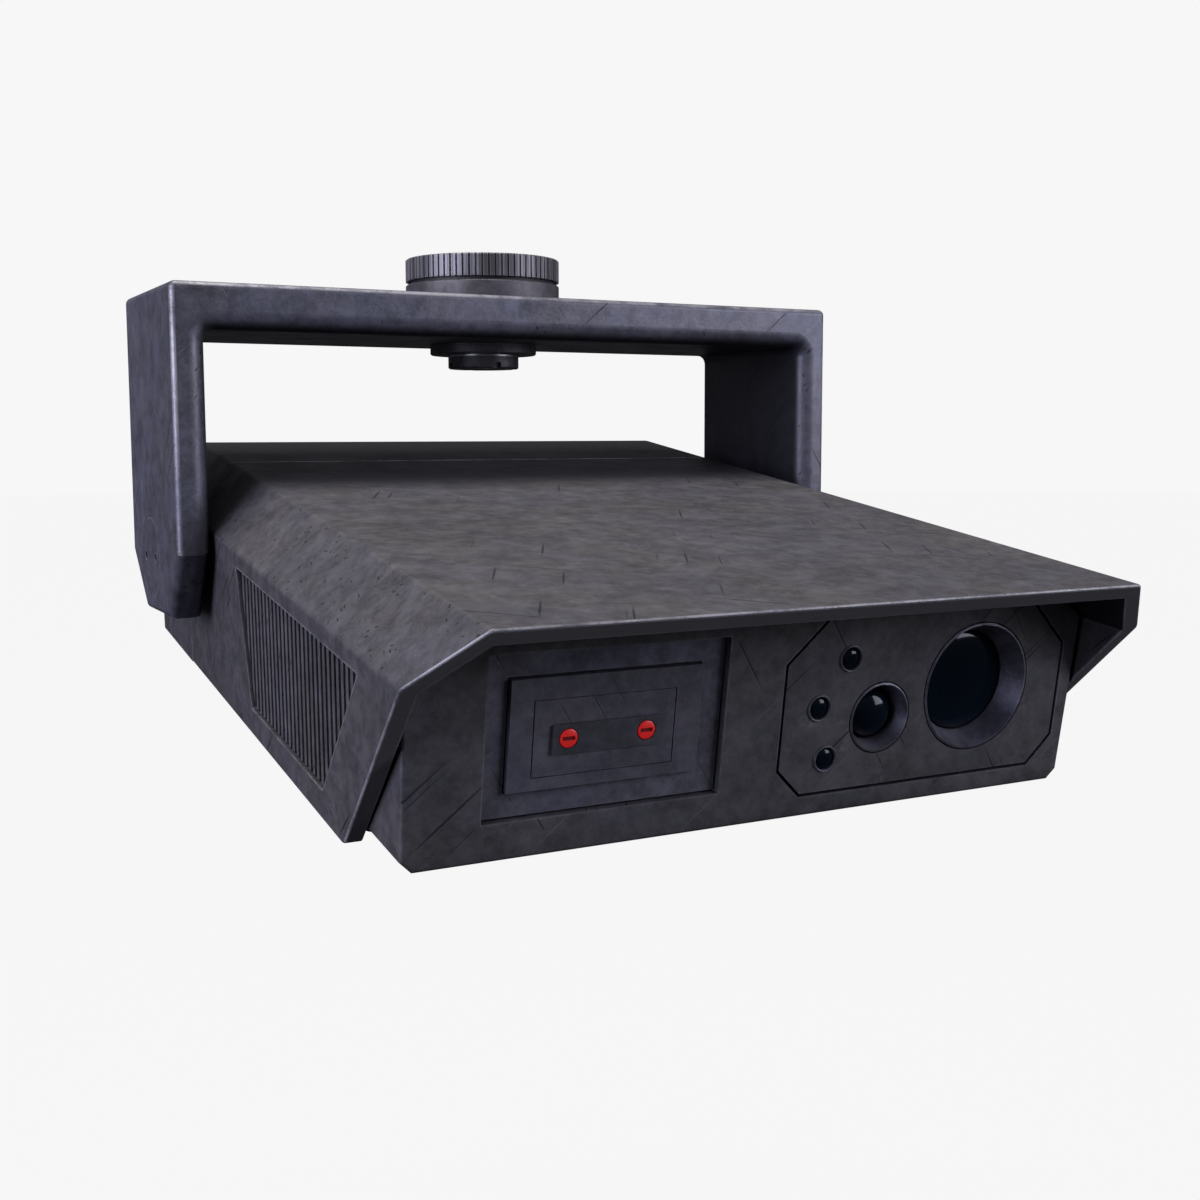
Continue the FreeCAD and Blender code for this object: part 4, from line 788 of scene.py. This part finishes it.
class MakeLamp(bpy.types.Operator):
    """Flash lamp's domed glass"""
    bl_idname = "radar_head.lamp"
    bl_label = "Lamp dome"

    def execute(self, context):
        sizes = context.scene.radar_sizes
        (low, high), = head_groups("lamp_lens", WHOLE_NODE)
        place, radius = facing_out(low, high, high.y)
        edge = high.y - low.y - sizes.lamp_rise
        dome = turned("lamp_dome", [(0.0, 0.0), (radius, 0.0), (radius, edge)]
                      + arc(radius, sizes.lamp_rise, edge, 14)[1:])
        settle(dome, place)
        glass = dark_glass("lamp_glass", (low + high) / 2, radius * 1.2,
                           tuple(context.scene.radar_colours.glass))
        dress(dome, "head", glass, "lens_glass", "lamp_lens")
        return {"FINISHED"}


class MakeCameraWindow(bpy.types.Operator):
    """Bulged front glass of the camera"""
    bl_idname = "radar_head.camera_window"
    bl_label = "Camera window"

    def execute(self, context):
        sizes = context.scene.radar_sizes
        (low, high), = head_groups("camera_glass", WHOLE_NODE)
        place, radius = facing_out(low, high, high.y)
        radius += WINDOW_LAP
        edge = high.y - low.y - sizes.window_rise
        window = turned("camera_window", [(0.0, 0.0), (radius, 0.0), (radius, edge)]
                        + arc(radius, sizes.window_rise, edge, 16)[1:], 96)
        settle(window, place)
        glass = dark_glass("camera_glass_coat", (low + high) / 2, radius * 1.1,
                           tuple(context.scene.radar_colours.glass))
        dress(window, "head", glass, "lens_glass", "camera_glass")
        return {"FINISHED"}


def lock_head(name, radius, slot_depth):
    """A disc with a rounded front edge and a slot across it."""
    head = turned(name, [
        (0.0, -LOCK_HEAD), (radius, -LOCK_HEAD), (radius, -0.4 * MM),
        (radius - 0.1 * MM, -0.15 * MM), (radius - 0.35 * MM, 0.0), (0.0, 0.0)])
    box_boolean(head, "DIFFERENCE", (*LOCK_SLOT, 2 * slot_depth))
    return head


def lock_shank(name, foot):
    """A round shank behind the head, with the cross bar that catches behind the strip."""
    top = 0.1 * MM - LOCK_HEAD
    shank = turned(name, [(0.0, foot), (SHANK_RADIUS, foot), (SHANK_RADIUS, top), (0.0, top)], 32)
    box_boolean(shank, "UNION", CROSS_BAR, foot + CROSS_BAR[2] / 2)
    return shank


class MakeTurnLocks(bpy.types.Operator):
    """Red quarter-turn locks with rounded heads and a slot"""
    bl_idname = "radar_head.turn_locks"
    bl_label = "Quarter-turn locks"

    def execute(self, context):
        slot_depth = context.scene.radar_sizes.slot_depth
        for side in ("left", "right"):
            node = "turn_lock_" + side
            (low, high), = head_groups(node, WHOLE_NODE)
            centre = HEAD.inverted() @ Vector(joint("lock_%s_turn" % side)["pos_m"])
            place = HEAD @ Matrix.Translation((centre.x, low.y, centre.z)) @ FORWARD
            enamel = lock_enamel(low.y)
            head = lock_head("lock_head_" + side, (high.z - low.z) / 2, slot_depth)
            shank = lock_shank("lock_shank_" + side, low.y - high.y)
            settle(head, place)
            settle(shank, place)
            dress(head, "lock_" + side, enamel, "lock_red", node)
            dress(shank, "lock_" + side, enamel, "lock_red")
        return {"FINISHED"}


class FinishHousing(bpy.types.Operator):
    """Worn coat on the two shells and the lower body"""
    bl_idname = "radar_head.finish_housing"
    bl_label = "Housing coats"

    def execute(self, context):
        coat = tuple(context.scene.radar_colours.coat)
        paint(["hood", "rear_hood"], worn_coat("hood_coat", coat, 11.0, hood_painted_shade, hood_rim_wear_and_highlight,
                                               bright=0.92, wear=0.9))
        paint(["base_pan"], worn_coat("pan_coat", coat, 23.0, front_wall_dark_bands, bright=0.95, wear=0.35))
        paint(["seam_strip"], moulded("seam_rubber"))
        return {"FINISHED"}


class FinishYoke(bpy.types.Operator):
    """Worn coat on the yoke, the pan bearing and the pivot caps"""
    bl_idname = "radar_head.finish_yoke"
    bl_label = "Yoke and mount finishes"

    def execute(self, context):
        colours = context.scene.radar_colours
        coat = tuple(colours.yoke_coat)
        paint(["yoke"], worn_coat("yoke_coat", coat, 5.0, yoke_window_shade, yoke_edge_wear_and_highlight, bright=1.1,
                                  edge_radius=1.0 * MM, wear=0.3, in_head=False, satin=0.34))
        paint(["pivot_caps"], worn_coat("cap_coat", coat, 8.0, in_head=False))
        paint(["base_collar", "lower_flange", "spindle_nut"],
              worn_coat("collar_coat", tuple(colours.coat), 31.0, edge_radius=0.9 * MM,
                        metallic=0.5, wear=0.4, in_head=False))
        paint(["knurled_ring"], knurled_metal())
        paint(["brake_ring"], moulded("brake_lining"))
        paint(["mount_spindle", "thrust_washer", "flange_screws", "pivot_bolts"],
              turned_metal("turned_steel"))
        paint(["pan_bush_upper", "pan_bush_lower", "tilt_bushes", "friction_washers"],
              moulded("bearing_plastic"))
        return {"FINISHED"}


class FinishFront(bpy.types.Operator):
    """Coats of the lens panel, bezels, radar frame and cover, and the side grilles"""
    bl_idname = "radar_head.finish_front"
    bl_label = "Front and grille finishes"

    def execute(self, context):
        colours = context.scene.radar_colours
        coat = tuple(colours.coat)
        paint(["lens_panel"], worn_coat("panel_coat", coat, 17.0, bright=0.85,
                                        edge_radius=0.8 * MM, wear=0.2))
        paint(["radar_frame"], worn_coat("frame_coat", tuple(colours.yoke_coat), 29.0, bright=1.25,
                                         edge_radius=0.8 * MM, wear=0.25))
        cover = tuple(colours.cover)
        paint(["radar_cover"], worn_coat("cover_coat", cover, 37.0, bright=1.3,
                                         edge_radius=0.7 * MM, metallic=0.0, wear=0.15))
        paint(["lock_strip"], worn_coat("strip_coat", cover, 39.0, bright=0.95,
                                        edge_radius=0.4 * MM, metallic=0.0, wear=0.12))
        paint(["camera_bezel", "lamp_bezel"], worn_coat(
            "bezel_coat", tuple(colours.bezel), 43.0, bright=1.25, edge_radius=0.7 * MM,
            metallic=0.55, wear=0.3))
        paint(["grille_left", "grille_right"], worn_coat(
            "grille_coat", coat, 47.0, bright=1.15, edge_radius=0.5 * MM, wear=0.3))
        paint(["dust_screen_left", "dust_screen_right"], gauze())
        return {"FINISHED"}


class FinishInside(bpy.types.Operator):
    """Finishes of the boards, modules, chassis, screws and rear fittings"""
    bl_idname = "radar_head.finish_inside"
    bl_label = "Inner parts and rear fittings"

    def execute(self, context):
        paint(["gland_body", "gland_nut", "gland_locknut", "vent_plug", "board_chips",
               "lamp_module", "sensor_diodes"], moulded("black_plastic"))
        paint(["gland_seal"], moulded("seal_rubber"))
        paint(["antenna_board", "camera_board", "sensor_board", "main_board"], board_green())
        paint(["tilt_block_left", "tilt_block_right", "chassis_plate", "chassis_standoffs",
               "board_posts", "front_board_posts", "heat_sink", "camera_barrel",
               "radar_module", "power_supply"],
              turned_metal("machined_alloy"))
        paint(["chassis_screws", "hood_screws"], turned_metal("screw_steel"))
        paint(["inner_lens"], dark_glass("inner_glass", Vector(), 0.3,
                                         tuple(context.scene.radar_colours.glass)))
        return {"FINISHED"}


# ---------------------------------------------------------------- stage

CAMERA_PLACE = (-0.31633, -0.72180, -0.09139)
CAMERA_AIM = (0.46961, 0.87629, -0.10762)
CAMERA_ROLL = math.radians(-0.151)
CAMERA_LENS = 44.255
CAMERA_SENSOR = 36.0
CAMERA_SHIFT = (-0.0017, -0.0031)
CAMERA_NEAREST = 0.01
FLOOR_DROP = 0.62
FLOOR_RADIUS = 14.0
FLOOR_GLOW = 0.915
SEEN_GREY = (0.93, 0.93, 0.93, 1.0)
FILL_TINT = (0.90, 0.89, 1.0, 1.0)
FILL_HEIGHTS = (-0.3, 0.25)        # of the direction, from where the fill is weakest to strongest
FILL_STRENGTHS = (0.035, 0.12)
# Name, place, target, width and height, watts, tint
SOFTBOXES = (
    ("top_softbox", (-0.3, -0.1, 1.9), (0, -0.1, -0.15), (1.6, 1.4), 45.0, (1.0, 0.965, 0.93)),
    ("left_softbox", (-2.1, -0.5, 0.35), (0, -0.05, -0.1), (1.2, 1.2), 43.0, (0.78, 0.79, 1.0)),
    ("right_softbox", (1.6, -1.6, 0.5), (0, -0.2, -0.15), (1.2, 1.2), 29.0, (0.86, 0.86, 1.0)),
)


def add_camera():
    data = bpy.data.cameras.new("view_camera")
    data.sensor_width = CAMERA_SENSOR
    data.lens = CAMERA_LENS
    data.shift_x, data.shift_y = CAMERA_SHIFT
    data.clip_start = CAMERA_NEAREST
    camera = bpy.data.objects.new("view_camera", data)
    bpy.context.scene.collection.objects.link(camera)
    aim = Vector(CAMERA_AIM).to_track_quat("-Z", "Y").to_matrix().to_4x4()
    camera.matrix_world = (Matrix.Translation(CAMERA_PLACE) @ aim
                           @ Matrix.Rotation(CAMERA_ROLL, 4, "Z"))
    bpy.context.scene.camera = camera


def add_softbox(name, place, target, size, power, tint):
    light = bpy.data.lights.new(name, "AREA")
    light.shape = "RECTANGLE"
    light.size, light.size_y = size
    light.energy = power
    light.color = tint
    holder = bpy.data.objects.new(name, light)
    bpy.context.scene.collection.objects.link(holder)
    holder.location = place
    aim = Vector(target) - Vector(place)
    holder.rotation_mode = "QUATERNION"
    holder.rotation_quaternion = aim.to_track_quat("-Z", "Y")


def add_world():
    """Pale all round where it is seen; as a light, a dim soft fill that is weaker from below."""
    world = bpy.data.worlds.new("studio")
    bpy.context.scene.world = world
    world.use_nodes = True
    tree = world.node_tree
    tree.nodes.clear()
    seen = tree.nodes.new("ShaderNodeBackground")
    seen.inputs["Color"].default_value = SEEN_GREY
    fill = tree.nodes.new("ShaderNodeBackground")
    fill.inputs["Color"].default_value = FILL_TINT
    aim = tree.nodes.new("ShaderNodeTexCoord")
    parts = tree.nodes.new("ShaderNodeSeparateXYZ")
    tree.links.new(aim.outputs["Generated"], parts.inputs[0])
    height = tree.nodes.new("ShaderNodeMapRange")
    for name, value in zip(("From Min", "From Max", "To Min", "To Max"),
                           (*FILL_HEIGHTS, *FILL_STRENGTHS)):
        height.inputs[name].default_value = value
    tree.links.new(parts.outputs["Z"], height.inputs["Value"])
    tree.links.new(height.outputs[0], fill.inputs["Strength"])
    path = tree.nodes.new("ShaderNodeLightPath")
    mix = tree.nodes.new("ShaderNodeMixShader")
    end = tree.nodes.new("ShaderNodeOutputWorld")
    tree.links.new(path.outputs["Is Camera Ray"], mix.inputs[0])
    tree.links.new(fill.outputs[0], mix.inputs[1])
    tree.links.new(seen.outputs[0], mix.inputs[2])
    tree.links.new(mix.outputs[0], end.inputs[0])


def floor_paper():
    """Pale studio paper."""
    web = Web("studio_paper")
    grain = web.noise(web.place(), 40.0, 3.0)
    colour = web.blend(grain, (0.010, 0.010, 0.010), (0.012, 0.012, 0.012))
    return web.finish({"Base Color": colour, "Roughness": 0.9, "Specular IOR Level": 0.0,
                       "Emission Color": (1.0, 1.0, 1.0, 1.0), "Emission Strength": FLOOR_GLOW})


class MakeStage(bpy.types.Operator):
    """Pale floor, soft studio lights, world and camera"""
    bl_idname = "radar_head.stage"
    bl_label = "Stage, lights and camera"

    def execute(self, context):
        bpy.ops.object.select_all(action="DESELECT")
        bpy.ops.mesh.primitive_circle_add(vertices=64, radius=FLOOR_RADIUS, fill_type="NGON",
                                          location=(0, 0, -FLOOR_DROP))
        floor = bpy.context.object
        floor.name = "floor"
        floor.data.materials.append(floor_paper())
        floor.visible_diffuse = False
        floor.visible_glossy = False
        context.scene.view_settings.view_transform = "Standard"
        add_world()
        for softbox in SOFTBOXES:
            add_softbox(*softbox)
        add_camera()
        return {"FINISHED"}


PIECES = (MakeStage, MakeSensors, MakeLamp, MakeCameraWindow, MakeTurnLocks,
          FinishHousing, FinishYoke, FinishFront, FinishInside)


class RadarHeadPanel(bpy.types.Panel):
    """Lists what can be made"""
    bl_idname = "VIEW3D_PT_radar_head"
    bl_label = "Radar camera head"
    bl_space_type = "VIEW_3D"
    bl_region_type = "UI"
    bl_category = "Radar head"

    def draw(self, context):
        for settings in (context.scene.radar_sizes, context.scene.radar_colours):
            box = self.layout.box()
            for name in settings.bl_rna.properties.keys():
                if name not in ("rna_type", "name"):
                    box.prop(settings, name)
        for operator in PIECES:
            self.layout.operator(operator.bl_idname)


CLASSES = (RadarHeadSizes, RadarHeadColours, *PIECES, RadarHeadPanel)


def register():
    for item in CLASSES:
        bpy.utils.register_class(item)
    bpy.types.Scene.radar_sizes = bpy.props.PointerProperty(type=RadarHeadSizes)
    bpy.types.Scene.radar_colours = bpy.props.PointerProperty(type=RadarHeadColours)


def unregister():
    del bpy.types.Scene.radar_colours
    del bpy.types.Scene.radar_sizes
    for item in reversed(CLASSES):
        bpy.utils.unregister_class(item)


def main():
    register()
    for operator in PIECES:
        family, name = operator.bl_idname.split(".")
        getattr(getattr(bpy.ops, family), name)()


if __name__ == "__main__":
    main()
